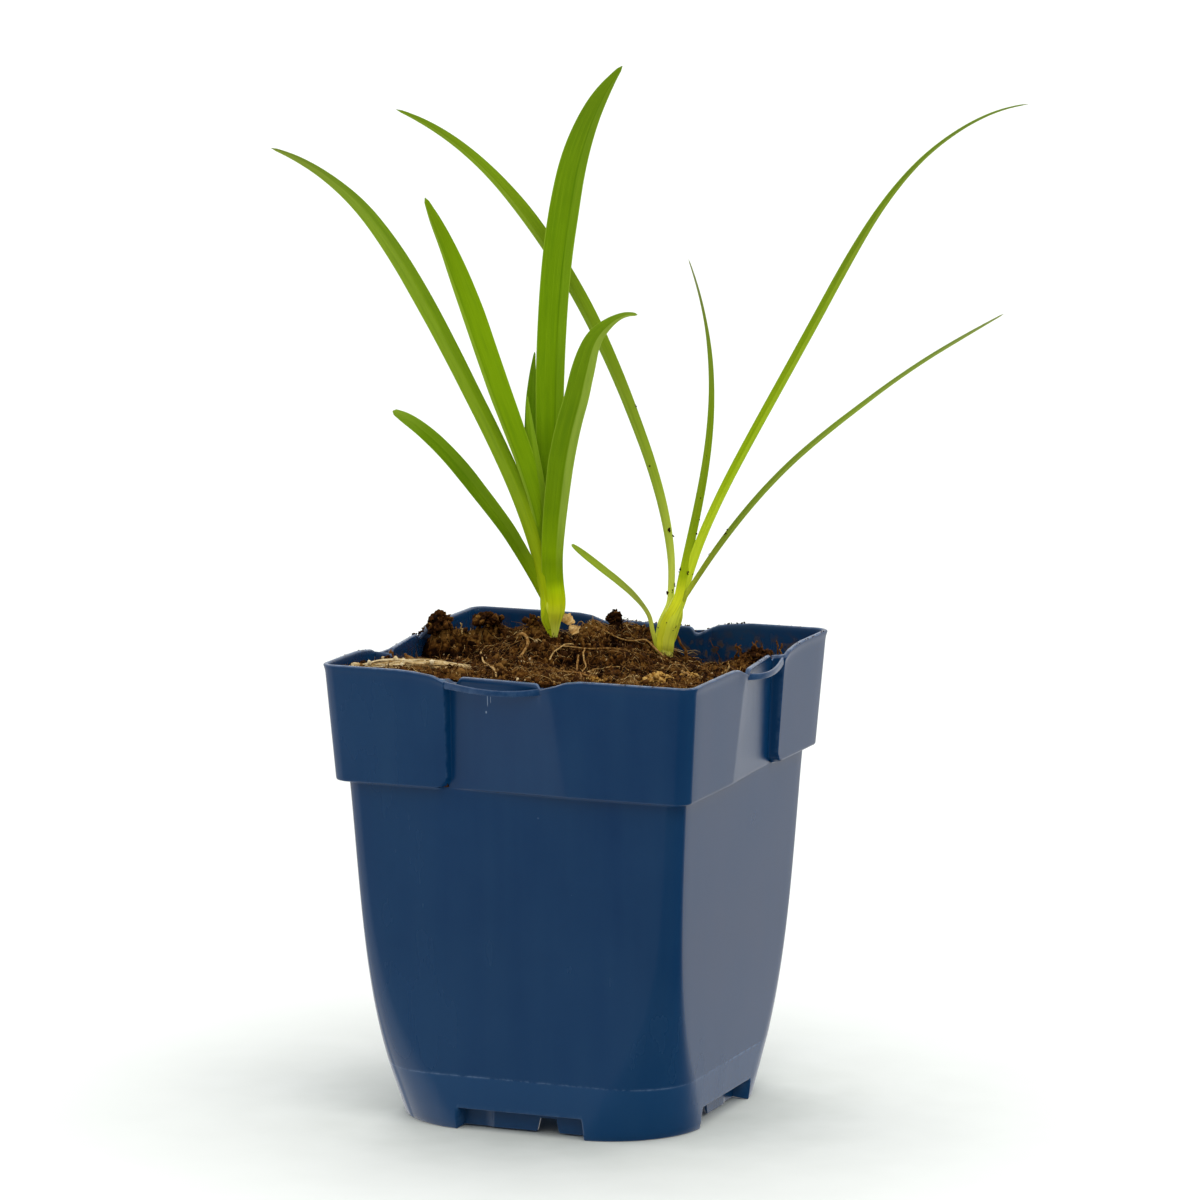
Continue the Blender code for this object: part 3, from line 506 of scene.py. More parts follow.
def potShell():
    # every row of the section swept round the pot; returns points in millimetres and the masks on them
    p = pot
    stops = faceStops()
    tables = [], [], [], [], []
    for kind, value, extra in potRows():
        at = {"w": 0.0, "f": value * p["notchHigh"], "r": potTop, "p": p["padHigh"],
              "u": p["padHigh"]}.get(kind, value)
        half, radius = (np.full((1, 1), float(v)) for v in sectionAt(np.array(at)))
        g = {"g": extra, "c": 1.0, "r": 1.0, "i": 1.0, "h": extra}.get(kind, 0.0)
        half = mix(half, collarHalf(at), g)
        radius = mix(radius, p["collarRound"], g)
        inset = {"r": 0.5 * p["wall"] * (1.0 - math.cos(value)), "f": extra}.get(kind, 0.0)
        inset = p["wall"] if kind in "ihbp" else inset
        lift = {"c": smoothStep((at - p["flareFrom"]) / 1.0), "r": max(math.cos(value), 0.0)}.get(kind, 0.0)
        if kind in "wu" or (kind == "p" and value == 0.0):
            grow = {"w": 0.0, "u": p["wall"] - extra, "p": p["wall"]}[kind]
            half = np.full((1, 1), p["wellHalf"] + grow)
            radius = np.full((1, 1), p["wellRound"] + grow)
            inset = 0.0
        rowS, rowOut = outline(half - inset, np.maximum(radius - inset, 0.4), stops)
        depth = g * panelDepth(rowS, np.full_like(rowS, at), -0.85 * inset / p["wall"]) if g > 0 else 0.0
        rowOut = rowOut - depth + p["flare"] * lift
        edge = mix(p["notchFoot"], p["notchTop"], min(at / p["notchHigh"], 1.0))
        side = smoothStep((edge - np.abs(rowS)) / 0.3)
        roof = np.clip((p["roofHigh"] - at) / p["roofSoft"], 0.0, 1.0)
        bay = smoothStep((p["bayEnd"] - rowS) / 0.5) * side * p["bayDeep"]
        gapRise = np.clip(np.minimum(rowS - p["gap"][0] + p["gapFlare"], p["gap"][1] + p["gapFlare"] - rowS)
                          / p["gapFlare"], 0.0, 1.0)
        foot = smoothStep((p["notchFoot"] - np.abs(rowS)) / 0.3) * mix(p["ringLift"], p["gapHigh"], gapRise)
        if kind in "fs" and at <= p["roofHigh"]:
            rowOut = mix(rowOut, p["notchWall"] - bay, side * roof)
        if kind == "w":
            rowOut = rowOut - bay
            rowZ = mix(foot, p["wellHigh"], value)
        elif kind == "f":
            rowZ = mix(foot, p["notchHigh"], value)
        elif kind in "pu":
            raised = smoothStep((p["notchFoot"] + 1.2 - np.abs(rowS)) / 0.3)
            floor = mix(p["wall"], p["notchHigh"] + p["wall"], raised)
            rowZ = mix(floor, p["wellHigh"], value) if kind == "u" else floor + (0.02 if value else 0.0)
        elif kind == "r":
            rowZ = potTop - rimDrop(rowS) - p["rimRound"] * (1.0 - math.sin(value))
        elif g > 0 and at > p["dipFrom"]:
            rowZ = p["dipFrom"] + (at - p["dipFrom"]) * (1.0 - rimDrop(rowS) / (potTop - p["dipFrom"]))
        else:
            rowZ = np.full_like(rowS, at)
        # pale edge marks, partly chalky wear and partly painted highlight: the rim's rounded top, a line
        # beside the collar step, the crease line and the notch edges
        edgeWearAndHighlight = np.zeros_like(rowS)
        if kind == "r":
            edgeWearAndHighlight = edgeWearAndHighlight + math.sin(value)
        if kind == "c":
            near = rowS - (p["step"] + 0.05)
            edgeWearAndHighlight = np.maximum(edgeWearAndHighlight, 0.3 * np.exp(-(near / 0.12) ** 2) * (at > 82.7))
        if kind == "s":
            edgeWearAndHighlight = edgeWearAndHighlight + math.exp(-((at - p["creaseZ"]) / 0.16) ** 2)
        if kind in "fs" and at < 5.4:
            edgeWearAndHighlight = np.maximum(edgeWearAndHighlight, 0.5 * np.exp(-((edge - np.abs(rowS)) / 0.25) ** 2))
            edgeWearAndHighlight = np.maximum(edgeWearAndHighlight, 0.4 * (side > 0.5) * math.exp(-((at - 5.1) / 0.15) ** 2))
        soiled = np.full_like(rowS, {"i": smoothStep((106.5 - at) / 6.0), "r": 0.25}.get(kind, 0.0))
        for table, row in zip(tables, (rowS, rowOut, rowZ, edgeWearAndHighlight, soiled)):
            table.append(row[0])
    s, out, z, wearAndHighlight, dirt = (np.array(table) for table in tables)
    masks = [np.concatenate([turned(mask, sense) for sense in faceSenses], axis=1).ravel()
             for mask in (wearAndHighlight, dirt)]
    return around(s, out, z), masks


def stripShell():
    # the four bowed strips: a rounded bar's section carried along an arc that bows out and sags
    lip = pot["lip"]
    u, turn = np.linspace(-1.0, 1.0, 41), np.arange(16) * 2.0 * np.pi / 16
    along = mix(lip["ends"][0], lip["ends"][1], 0.5 * (u + 1.0))
    arch = (1.0 - u * u) * (1.0 + lip["skew"] * u)
    out = collarHalf(lip["top"]) - lip["sunk"] + lip["bow"] * arch
    top, low = lip["top"] - lip["sag"] * arch, lip["low"] - 0.7 * lip["sag"] * arch
    across = np.sign(np.cos(turn)) * np.abs(np.cos(turn)) ** 0.45
    upward = np.sign(np.sin(turn)) * np.abs(np.sin(turn)) ** 0.3
    depth = out[:, None] - 0.5 * lip["thick"] * (1.0 - across[None, :])
    height = 0.5 * (top + low)[:, None] + 0.5 * (top - low)[:, None] * upward[None, :]
    strips = []
    for normal, travel, sense in zip(faceNormals, faceTravels, faceSenses):
        flat = depth[..., None] * normal + (along * sense)[:, None, None] * travel
        strips.append(closedTube(np.concatenate([flat, height[..., None]], axis=-1)))
    return joined(strips)


def floorPlate():
    # the raised floor: a rounded square slab; buildPot later cuts its drain holes with five short cylinders
    p = pot
    stops = np.arange(0, 17.1, 4.25)
    overlap, under, top = 0.4, 5.02, 5.88
    s, out = outline(np.full((1, 1), p["wellHalf"] + overlap), np.full((1, 1), p["wellRound"] + overlap),
                     np.concatenate([-stops[:0:-1], stops]))
    ring, ends = around(s, out, np.zeros_like(s)), np.array([[0, 0, under], [0, 0, top]])
    return closedTube(np.concatenate([ring + end for end in ends]), ends)


def scratchMark(tree, where, waver, x, low, high, wide):
    # a thin upright scratch on the front face: near one line and between two heights, wavering a little
    parts = place(tree, "ShaderNodeSeparateXYZ", {0: where}).outputs
    line = plus(tree, parts["X"], times(tree, minus(tree, waver, 0.5), 0.0004))
    off = sums(tree, "ABSOLUTE", minus(tree, line, potAxis[0] + x * mm), 0.0)
    mark = spread(tree, off, 0.5 * wide * mm, 1.5 * wide * mm, 0.8, 0.0)
    tall = sums(tree, "ABSOLUTE", minus(tree, parts["Z"], 0.5 * (low + high) * mm), 0.0)
    run = (high - low) * mm
    mark = times(tree, mark, spread(tree, tall, 0.3 * run, 0.5 * run, 1.0, 0.0))
    front = spread(tree, parts["Y"], potAxis[1] - 0.038, potAxis[1] - 0.037, 1.0, 0.0)
    return times(tree, mark, front)


def potFinish():
    # navy plastic: soft blotches and upright flow lines, pale edges that are partly chalky wear and partly
    # painted highlight, fine dust specks, soil inside
    p = pot
    material, tree, where, _ = blankMaterial("navyPlastic")
    blotch = useGroup(tree, mottle, Position=where, Scale=38.0, Detail=4.0, Low=0.35, High=0.7)
    flow = useGroup(tree, mottle, Position=where, Stretch=(1.0, 1.0, 0.07), Scale=140.0, Detail=4.0,
                    Low=0.35, High=0.8)
    fine = useGroup(tree, mottle, Position=where, Scale=2200.0, Detail=2.0, Low=0.3, High=0.7)
    colour = mixColour(tree, blotch, p["deep"], p["blue"])
    colour = mixColour(tree, times(tree, flow, 0.45), colour, p["faded"])
    # the foot and the curve above it are a little lighter, where the floor's light reaches them
    height = place(tree, "ShaderNodeSeparateXYZ", {0: where}).outputs["Z"]
    curve = spread(tree, height, 0.042, 0.014, 0.0, 0.3)
    skirt = spread(tree, height, 0.0129, 0.0125, 0.0, 0.4)
    colour = mixColour(tree, plus(tree, curve, skirt), colour, p["lower"])
    for spot in p["scratches"]:
        colour = mixColour(tree, scratchMark(tree, where, flow, *spot), colour, p["scuff"])
    dots = useGroup(tree, specks, Position=where, Scale=260.0, Share=0.02, Size=0.07)
    colour = mixColour(tree, times(tree, dots, 0.5), colour, p["chalkAndHighlight"])
    # the pale edge mark mixes toward the chalk colour: chalky wear and painted highlight in one mask
    edge = useGroup(tree, brokenWearAndHighlight, Edge=layerValue(tree, "wearAndHighlight"), Position=where, Scale=420.0, Amount=0.75)
    colour = mixColour(tree, edge, colour, p["chalkAndHighlight"])
    grime = useGroup(tree, mottle, Position=where, Scale=520.0, Detail=5.0, Low=0.45, High=0.62)
    grime = times(tree, grime, layerValue(tree, "soiled"))
    colour = mixColour(tree, grime, colour, p["soil"])
    rough = spread(tree, plus(tree, blotch, flow), 0.0, 2.0, 0.21, 0.31)
    rough = sums(tree, "MAXIMUM", rough, times(tree, grime, 0.85))
    relief = plus(tree, times(tree, flow, 0.6), times(tree, fine, 0.35))
    dress(tree, colour, rough, relief, 0.2, 0.00005, 0.42)
    return material


def boreHole(plate, x, y, radius):
    # cut an upright cylinder out of the floor plate, at a place in millimetres about the pot's axis
    bpy.ops.mesh.primitive_cylinder_add(vertices=32, radius=radius * mm, depth=6 * mm,
                                        location=potAxis + np.array([x, y, 5.4]) * mm)
    cutter = bpy.context.active_object
    cut = plate.modifiers.new("drain", "BOOLEAN")
    cut.operation, cut.object, cut.solver = "DIFFERENCE", cutter, "EXACT"
    bpy.context.view_layer.update()
    bored = bpy.data.meshes.new_from_object(plate.evaluated_get(bpy.context.evaluated_depsgraph_get()))
    plate.modifiers.clear()
    plate.data = bored
    bpy.data.objects.remove(cutter)


def buildPot():
    plastic = potFinish()
    points, (wearAndHighlight, soiled) = potShell()
    rows, columns = points.shape[:2]
    quads = gridQuads(rows, columns, closeRows=True, closeColumns=True)
    makePiece("pot_shell", points.reshape(-1, 3), quads, [], plastic, ["pot"],
              layers={"wearAndHighlight": wearAndHighlight, "soiled": soiled})
    points, quads, tris = stripShell()
    # the strips take a little of the pale edge mark all over: wear and painted highlight
    makePiece("pot_strips", points, quads, tris, plastic, layers={"wearAndHighlight": 0.25, "soiled": 0.0})
    points, quads, tris = floorPlate()
    plate = makePiece("pot_floor_plate", points, quads, tris, plastic, flat=True,
                      layers={"wearAndHighlight": 0.0, "soiled": 0.6})
    (middle, middleRadius), (reach, radius) = pot["drains"]
    for angle in np.radians((45, 135, 225, 315)):
        boreHole(plate, reach * math.cos(angle), reach * math.sin(angle), radius)
    boreHole(plate, middle, middle, middleRadius)
    print("pot built:", rows, "rows of", columns)


buildPot()

# peat: a bed falling away to the back, with mounds (x, y, height, spread), its relief, where it is dry
peat = dict(
    level=101.5, slope=(0.0, -0.076),
    mounds=((-7.0, 12.0, 5.4, 17.0), (-39.6, 13.0, 8.0, 4.6), (-31.0, 17.5, 7.0, 5.0),
            (-22.0, 23.0, 3.2, 6.0), (-15.6, 11.5, 3.8, 4.2), (-2.5, 15.5, 3.0, 5.0),
            (0.0, 31.5, 5.6, 10.0), (10.0, 19.0, 2.6, 5.0), (19.5, 27.0, -2.8, 6.0),
            (-44.0, 6.0, -2.2, 8.0), (-37.5, 29.0, -1.5, 6.0), (-9.5, 5.5, 0.6, 4.0),
            (-18.0, -6.0, -1.6, 7.0), (2.0, -8.0, -1.5, 7.0), (-28.0, 3.0, -1.4, 6.0), (12.0, 3.0, 1.2, 8.0),
            (32.0, -20.0, 1.4, 9.0), (-24.0, -34.0, 1.2, 9.0), (39.0, 12.0, 2.8, 8.0),
            (-43.0, -7.0, -1.6, 11.0), (18.0, 39.0, -2.4, 11.0), (8.0, -36.0, 0.8, 12.0)),
    dry=((-30.0, -35.0, 10.0), (-12.0, -38.0, 9.0), (24.0, -31.0, 8.0), (34.0, -24.0, 7.0), (9.0, -38.0, 7.0),
         (-4.0, 14.0, 5.0), (-34.0, 15.0, 4.0)),
    broad=(8.0, 1.1), clods=(5.6, 2.9), crumbs=(2.1, 1.3), grit=(0.8, 0.4), grid=292,
    skirt=(95.0, 84.0, 81.5, 79.0, 60.0, 40.0, 24.0, 13.0, 6.4), easeAtWall=3.0,
    crumbCount=4600, crumbSize=(0.16, 0.95), chipCount=380, chipSize=(0.13, 0.42),
    fibres=dict(seed=19, count=5600, size=(0.035, 0.085), reach=(1.2, 6.0), stations=5, highest=0.9),
    rootlets=dict(seed=23, count=1500, size=(0.07, 0.15), reach=(3.5, 12.0), stations=9, highest=1.3),
    # the bed's outline where it meets the wall, and how near a fibre or a loose piece may come to it
    wallAt=103.5, nominal=42.5, half=43.9, corner=2.9, slack=0.15, fibreEdge=41.3, reliefEdge=40.9,
    # colours from hollow to crest: the near-black hollow colour is painted shade, the lighter crest colour
    # partly painted light
    hollow=(0.0016, 0.0005, 0.0001), dark=(0.011, 0.0034, 0.0007), brown=(0.080, 0.029, 0.0055),
    crest=(0.175, 0.082, 0.01775),
)


def innerLimit(s, z, side):
    # how far from the axis the pot's inner wall lies at a place along one of its faces
    s = s * faceSenses[side]
    return collarHalf(z) - pot["wall"] - panelDepth(s, z, -0.85)


def bedUnder(x, y):
    # the smooth bed and its mounds, without the relief
    height = peat["level"] + peat["slope"][0] * x + peat["slope"][1] * y
    for cx, cy, rise, reach in peat["mounds"]:
        height = height + rise * np.exp(-((x - cx) ** 2 + (y - cy) ** 2) / reach ** 2)
    return height


def reliefAt(x, y):
    # over the bed: broad swells, then clods and crumbs as domes round scattered points, and ridged grit
    p = np.stack([x, y], -1)
    relief = peat["broad"][1] * fractal(p / peat["broad"][0], 11, 2)
    warp = np.stack([fractal(p / 1.6, 5, 3), fractal(p / 1.6, 6, 3)], -1)
    for (size, rise), seed, reach in ((peat["clods"], 21, 0.8), (peat["crumbs"], 31, 0.75)):
        away, mark = cells((p + warp * size * 0.55) / size, seed)
        dome = np.sqrt(np.maximum(1.0 - (away / reach) ** 2, 0.0))
        relief = relief + rise * (0.2 + 1.2 * mark) * (dome - 0.7)
    relief = relief + peat["grit"][1] * (0.8 - 2.0 * np.abs(fractal(p / peat["grit"][0], 41, 3, 0.6)))
    edge = peat["reliefEdge"] - np.maximum(np.abs(x), np.abs(y))
    return relief * mix(0.45, 1.0, smoothStep(edge / peat["easeAtWall"]))


def ground(x, y):
    return bedUnder(x, y) + reliefAt(x, y)


def hollowShadeAt(x, y):
    # -1 deep in a hollow to 1 on a crest; it darkens loose crumbs and fibres in hollows as painted shade
    return np.clip(reliefAt(x, y) / 2.2, -1.0, 1.0)


def dryness(x, y):
    # 1 where the peat is dry and straw-like, fading away round each dry spot
    total = 0.0
    for cx, cy, reach in peat["dry"]:
        total = total + np.exp(-((x - cx) ** 2 + (y - cy) ** 2) / reach ** 2)
    return np.clip(total, 0.0, 1.0)


def intoPot(a, b):
    # shares of the way from the axis to each wall, -1 to 1, become places inside the rounded, stepped outline
    z = np.full_like(a, peat["wallAt"])
    x0, y0 = peat["nominal"] * a, peat["nominal"] * b
    x = a * np.where(a > 0, innerLimit(y0, z, 1), innerLimit(-y0, z, 3))
    y = b * np.where(b > 0, innerLimit(-x0, z, 2), innerLimit(x0, z, 0))
    corner, radius = peat["half"] - peat["corner"], peat["corner"]
    dx, dy = np.abs(x) - corner, np.abs(y) - corner
    away = np.hypot(np.maximum(dx, 0), np.maximum(dy, 0))
    share = np.where((dx > 0) & (dy > 0) & (away > radius), radius / np.maximum(away, 1e-6), 1.0)
    x = np.where(share < 1.0, np.sign(x) * (corner + dx * share), x)
    y = np.where(share < 1.0, np.sign(y) * (corner + dy * share), y)
    return x, y


def scatterPlaces(count, dice, margin=0.985):
    return intoPot(dice.uniform(-margin, margin, count), dice.uniform(-margin, margin, count))


def boxBlur(field, reach):
    # mean over a square window, by running sums along each axis
    for axis in (0, 1):
        padded = np.pad(field, [(reach + 1, reach) if k == axis else (0, 0) for k in (0, 1)], mode="edge")
        total = np.cumsum(padded, axis=axis)
        size = 2 * reach + 1
        field = (np.take(total, range(size, total.shape[axis]), axis)
                 - np.take(total, range(0, total.shape[axis] - size), axis)) / size
    return field


def peatFinish():
    # peat: painted shade makes hollows nearly black and painted light makes crests lighter, crumbs brown, dry
    # tips tan, with broken fibrous noise and a crumbly bump
    p = peat
    material, tree, where, _ = blankMaterial("darkPeat")
    relief = layerValue(tree, "relief")
    broken = useGroup(tree, mottle, Position=where, Scale=800.0, Detail=6.0, Low=0.3, High=0.7)
    patch = useGroup(tree, mottle, Position=where, Scale=180.0, Detail=3.0, Low=0.35, High=0.7)
    level = plus(tree, relief, times(tree, minus(tree, broken, 0.5), 0.65))
    level = plus(tree, level, times(tree, minus(tree, patch, 0.5), 0.35))
    level = plus(tree, level, times(tree, layerValue(tree, "dry"), 0.3))
    colour = ramp(tree, level, [(0.14, p["hollow"]), (0.46, p["dark"]), (0.78, p["brown"]),
                                (1.0, p["crest"])])
    flecks = useGroup(tree, specks, Position=where, Scale=900.0, Share=0.04, Size=0.3)
    colour = mixColour(tree, times(tree, flecks, 0.7), colour, (0.36, 0.22, 0.08))
    dress(tree, colour, 0.95, broken, 1.0, 0.0004, 0.02)
    return material


def scatterFinish(name, stops, rough=0.8, bumpy=0.5):
    # for crumbs, fibres and chips: each carries its own tint, broken by fine noise
    material, tree, where, _ = blankMaterial(name)
    noise = useGroup(tree, mottle, Position=where, Scale=1500.0, Detail=4.0)
    tint = plus(tree, layerValue(tree, "tint"), times(tree, minus(tree, noise, 0.5), 0.25))
    rough = spread(tree, noise, 0.0, 1.0, rough - 0.08, rough + 0.08)
    dress(tree, ramp(tree, tint, stops), rough, noise, bumpy, 0.00015, 0.04)
    return material


def lumpShapes(centres, sizes, dice, rough=0.42):
    # many small uneven lumps: a sphere of 18 points and 32 faces, each point pushed in or out by chance,
    # stretched three ways and turned at random
    corners = np.array([[1, 0, 0], [-1, 0, 0], [0, 1, 0], [0, -1, 0], [0, 0, 1], [0, 0, -1]], float)
    ball, faces = list(corners), []
    middles = {}

    def middle(i, j):
        key = (min(i, j), max(i, j))
        if key not in middles:
            middles[key] = len(ball)
            ball.append(unit(corners[i] + corners[j]))
        return middles[key]
    for i, j, k in ((0, 2, 4), (2, 1, 4), (1, 3, 4), (3, 0, 4), (2, 0, 5), (1, 2, 5), (3, 1, 5), (0, 3, 5)):
        a, b, c = middle(i, j), middle(j, k), middle(k, i)
        faces += [(i, a, c), (a, j, b), (c, b, k), (a, b, c)]
    ball = np.array(ball)
    count = len(centres)
    push = dice.uniform(1.0 - rough, 1.0 + rough, (count, len(ball), 1))
    stretch = dice.uniform(0.45, 1.35, (count, 1, 3))
    axes = unit(dice.normal(size=(count, 3, 3)))
    axes[:, 1] = unit(np.cross(axes[:, 2], axes[:, 0]))
    axes[:, 2] = np.cross(axes[:, 0], axes[:, 1])
    local = ball[None] * push * stretch * sizes[:, None, None]
    points = np.einsum("nvk,nkj->nvj", local, axes) + centres[:, None, :]
    tris = np.array(faces)[None] + (np.arange(count) * len(ball))[:, None, None]
    return points.reshape(-1, 3), tris.reshape(-1, 3), len(ball)


def skirtRing(loop, level):
    # the bed's edge carried down to a level: pushed out to the inner wall below the collar and rounded at
    # the corners, or drawn in a little with the collar above it
    if level > pot["collarFootZ"]:
        share = (float(collarHalf(level)) - pot["wall"] - peat["slack"]) / (peat["half"] - 0.1)
        return loop[:, :2] * min(1.0, share)
    half, radius = (float(size) for size in sectionAt(np.array(level)))
    half, radius = half - pot["wall"] - peat["slack"], radius - pot["wall"]
    flat = loop[:, :2] / np.abs(loop[:, :2]).max(axis=1, keepdims=True) * half
    over = np.abs(flat) - (half - radius)
    away = np.linalg.norm(np.maximum(over, 0.0), axis=1)
    cornered = (over > 0).all(axis=1) & (away > radius)
    pull = np.where(cornered, radius / np.maximum(away, 1e-6), 1.0)[:, None]
    return np.where(pull < 1.0, np.sign(flat) * (half - radius + over * pull), flat)


def buildPeatBed():
    # the surface grid, then a skirt that follows the inner wall down to the raised floor, and a flat foot
    n = peat["grid"]
    share = np.linspace(-1.0, 1.0, n)
    a, b = np.meshgrid(share, share, indexing="ij")
    x, y = intoPot(a, b)
    z = ground(x, y)
    # relief: height over the local mean, which the finish turns into painted shade in hollows and painted
    # light on crests
    relief = np.clip(0.5 + 0.34 * (z - boxBlur(z, 9)) + 0.12 * (z - boxBlur(z, 24)), 0.0, 1.0)
    rim = np.concatenate([np.arange(n), np.arange(1, n) * n + n - 1, (n - 1) * n + np.arange(n - 2, -1, -1),
                          np.arange(n - 2, 0, -1) * n])
    top = np.stack([x, y, z], -1).reshape(-1, 3)
    loop = top[rim]
    rings = [np.concatenate([skirtRing(loop, level), np.full((len(rim), 1), level)], axis=1)
             for level in peat["skirt"]]
    points = np.concatenate([top, *rings, [[0.0, 0.0, peat["skirt"][-1]]]])
    quads = [gridQuads(n, n)]
    previous = rim
    for k in range(len(rings)):
        here = n * n + k * len(rim) + np.arange(len(rim))
        quads.append(np.stack([previous, here, np.roll(here, -1), np.roll(previous, -1)], -1))
        previous = here
    foot = fan(previous, len(points) - 1)
    quads[0] = quads[0][:, ::-1]
    layer = np.concatenate([relief.ravel(), np.full(len(points) - n * n, 0.3)])
    dry = dryness(points[:, 0], points[:, 1])
    makePiece("peat_bed", points, np.concatenate(quads)[:, ::-1], foot, peatFinish(), ["peat"],
              layers={"relief": layer, "dry": dry})


def buildCrumbs():
    dice = np.random.default_rng(7)
    x, y = scatterPlaces(peat["crumbCount"], dice)
    low, high = peat["crumbSize"]
    size = low + (high - low) * dice.uniform(0, 1, len(x)) ** 3.5
    centres = np.stack([x, y, ground(x, y) + size * dice.uniform(-0.1, 0.6, len(x))], -1)
    points, tris, each = lumpShapes(centres, size, dice)
    # crumbs in hollows are tinted darker and those on crests lighter: painted shade and light
    tint = dice.normal(0.32, 0.17, len(x)) + 0.3 * dryness(x, y) + 0.25 * hollowShadeAt(x, y)
    skin = scatterFinish("peatCrumb", [(0.0, (0.004, 0.0012, 0.0003)), (0.35, (0.018, 0.0058, 0.0013)),
                                       (0.7, (0.080, 0.030, 0.006)), (1.0, (0.24, 0.12, 0.03))], 0.9)
    tint = np.repeat(np.clip(tint, 0, 1), each)
    makePiece("peat_crumbs", points, [], tris, skin, layers={"tint": tint})
    x, y = scatterPlaces(peat["chipCount"], dice)
    size = dice.uniform(*peat["chipSize"], len(x))
    centres = np.stack([x, y, ground(x, y) + size * 0.6 + 0.15], -1)
    points, tris, each = lumpShapes(centres, size, dice)
    tint = np.repeat(dice.uniform(0.0, 1.0, len(x)) ** 1.5, each)
    skin = scatterFinish("paleChip", [(0.0, (0.20, 0.105, 0.03)), (0.5, (0.40, 0.25, 0.09)),
                                      (1.0, (0.66, 0.50, 0.28))], 0.6)
    makePiece("pale_chips", points, [], tris, skin, layers={"tint": tint})


def fibrePaths(x, y, length, lift, dice, stations):
    # each fibre wanders over the surface: its heading drifts steadily and by chance, and it arches by lift
    heading = dice.uniform(0, 2 * math.pi, len(x))[:, None]
    bend = dice.normal(0, 1.1, len(x))[:, None]
    t = np.linspace(0.0, 1.0, stations)[None, :]
    turn = heading + bend * t + np.cumsum(dice.normal(0, 0.3, (len(x), stations)), axis=1)
    step = length[:, None] / (stations - 1)
    edge = peat["fibreEdge"]
    px = np.clip(x[:, None] + np.cumsum(np.cos(turn) * step, axis=1), -edge, edge)
    py = np.clip(y[:, None] + np.cumsum(np.sin(turn) * step, axis=1), -edge, edge)
    free = dice.choice([0.0, 1.0], len(x), p=[0.6, 0.4])[:, None]
    rise = lift[:, None] * mix(np.sin(math.pi * t), t * t * 1.6, free)
    return np.stack([px, py, mix(ground(px, py), ground(px[:, :1], py[:, :1]), 0.5 * free) + rise + 0.05], -1)


def buildFibres(name, seed, count, size, reach, stations, highest):
    dice = np.random.default_rng(seed)
    x, y = scatterPlaces(count, dice, 0.95)
    length = mix(*reach, dice.uniform(0, 1, count) ** 2.2)
    lift = np.minimum(dice.uniform(0.0, 0.3, count) * length * dice.choice([0.4, 1.0, 1.6], count), highest)
    paths = fibrePaths(x, y, length, lift, dice, stations)
    thick = mix(*size, dice.uniform(0, 1, count) ** 2.0)[:, None]
    taper = 1.0 - 0.65 * np.linspace(0.0, 1.0, stations)[None, :] ** 2
    points, quads, caps = tubes(paths, thick * taper, 3)
    kind = dice.uniform(0, 1, count) - 0.22 * dryness(x, y)
    tint = np.where(kind < 0.12, dice.uniform(0.72, 1.0, count),
                    np.where(kind < 0.52, dice.uniform(0.42, 0.72, count), dice.uniform(0.0, 0.42, count)))
    # fibres lying in hollows are tinted darker: painted shade
    tint = tint[:, None] + 0.28 * np.minimum(hollowShadeAt(paths[..., 0], paths[..., 1]), 0.2)
    tint = np.repeat(np.clip(tint, 0, 1), 3)
    makePiece(name, points, quads, caps, fibreSkin, layers={"tint": tint})


buildPeatBed()
buildCrumbs()
fibreSkin = scatterFinish("peatFibre", [(0.0, (0.008, 0.0024, 0.0006)), (0.35, (0.044, 0.015, 0.003)),
                                        (0.6, (0.14, 0.056, 0.012)), (0.8, (0.34, 0.18, 0.05)),
                                        (1.0, (0.62, 0.43, 0.18))], 0.75, 0.2)
buildFibres("peat_fibres", **peat["fibres"])
buildFibres("peat_rootlets", **peat["rootlets"])
print("peat built")

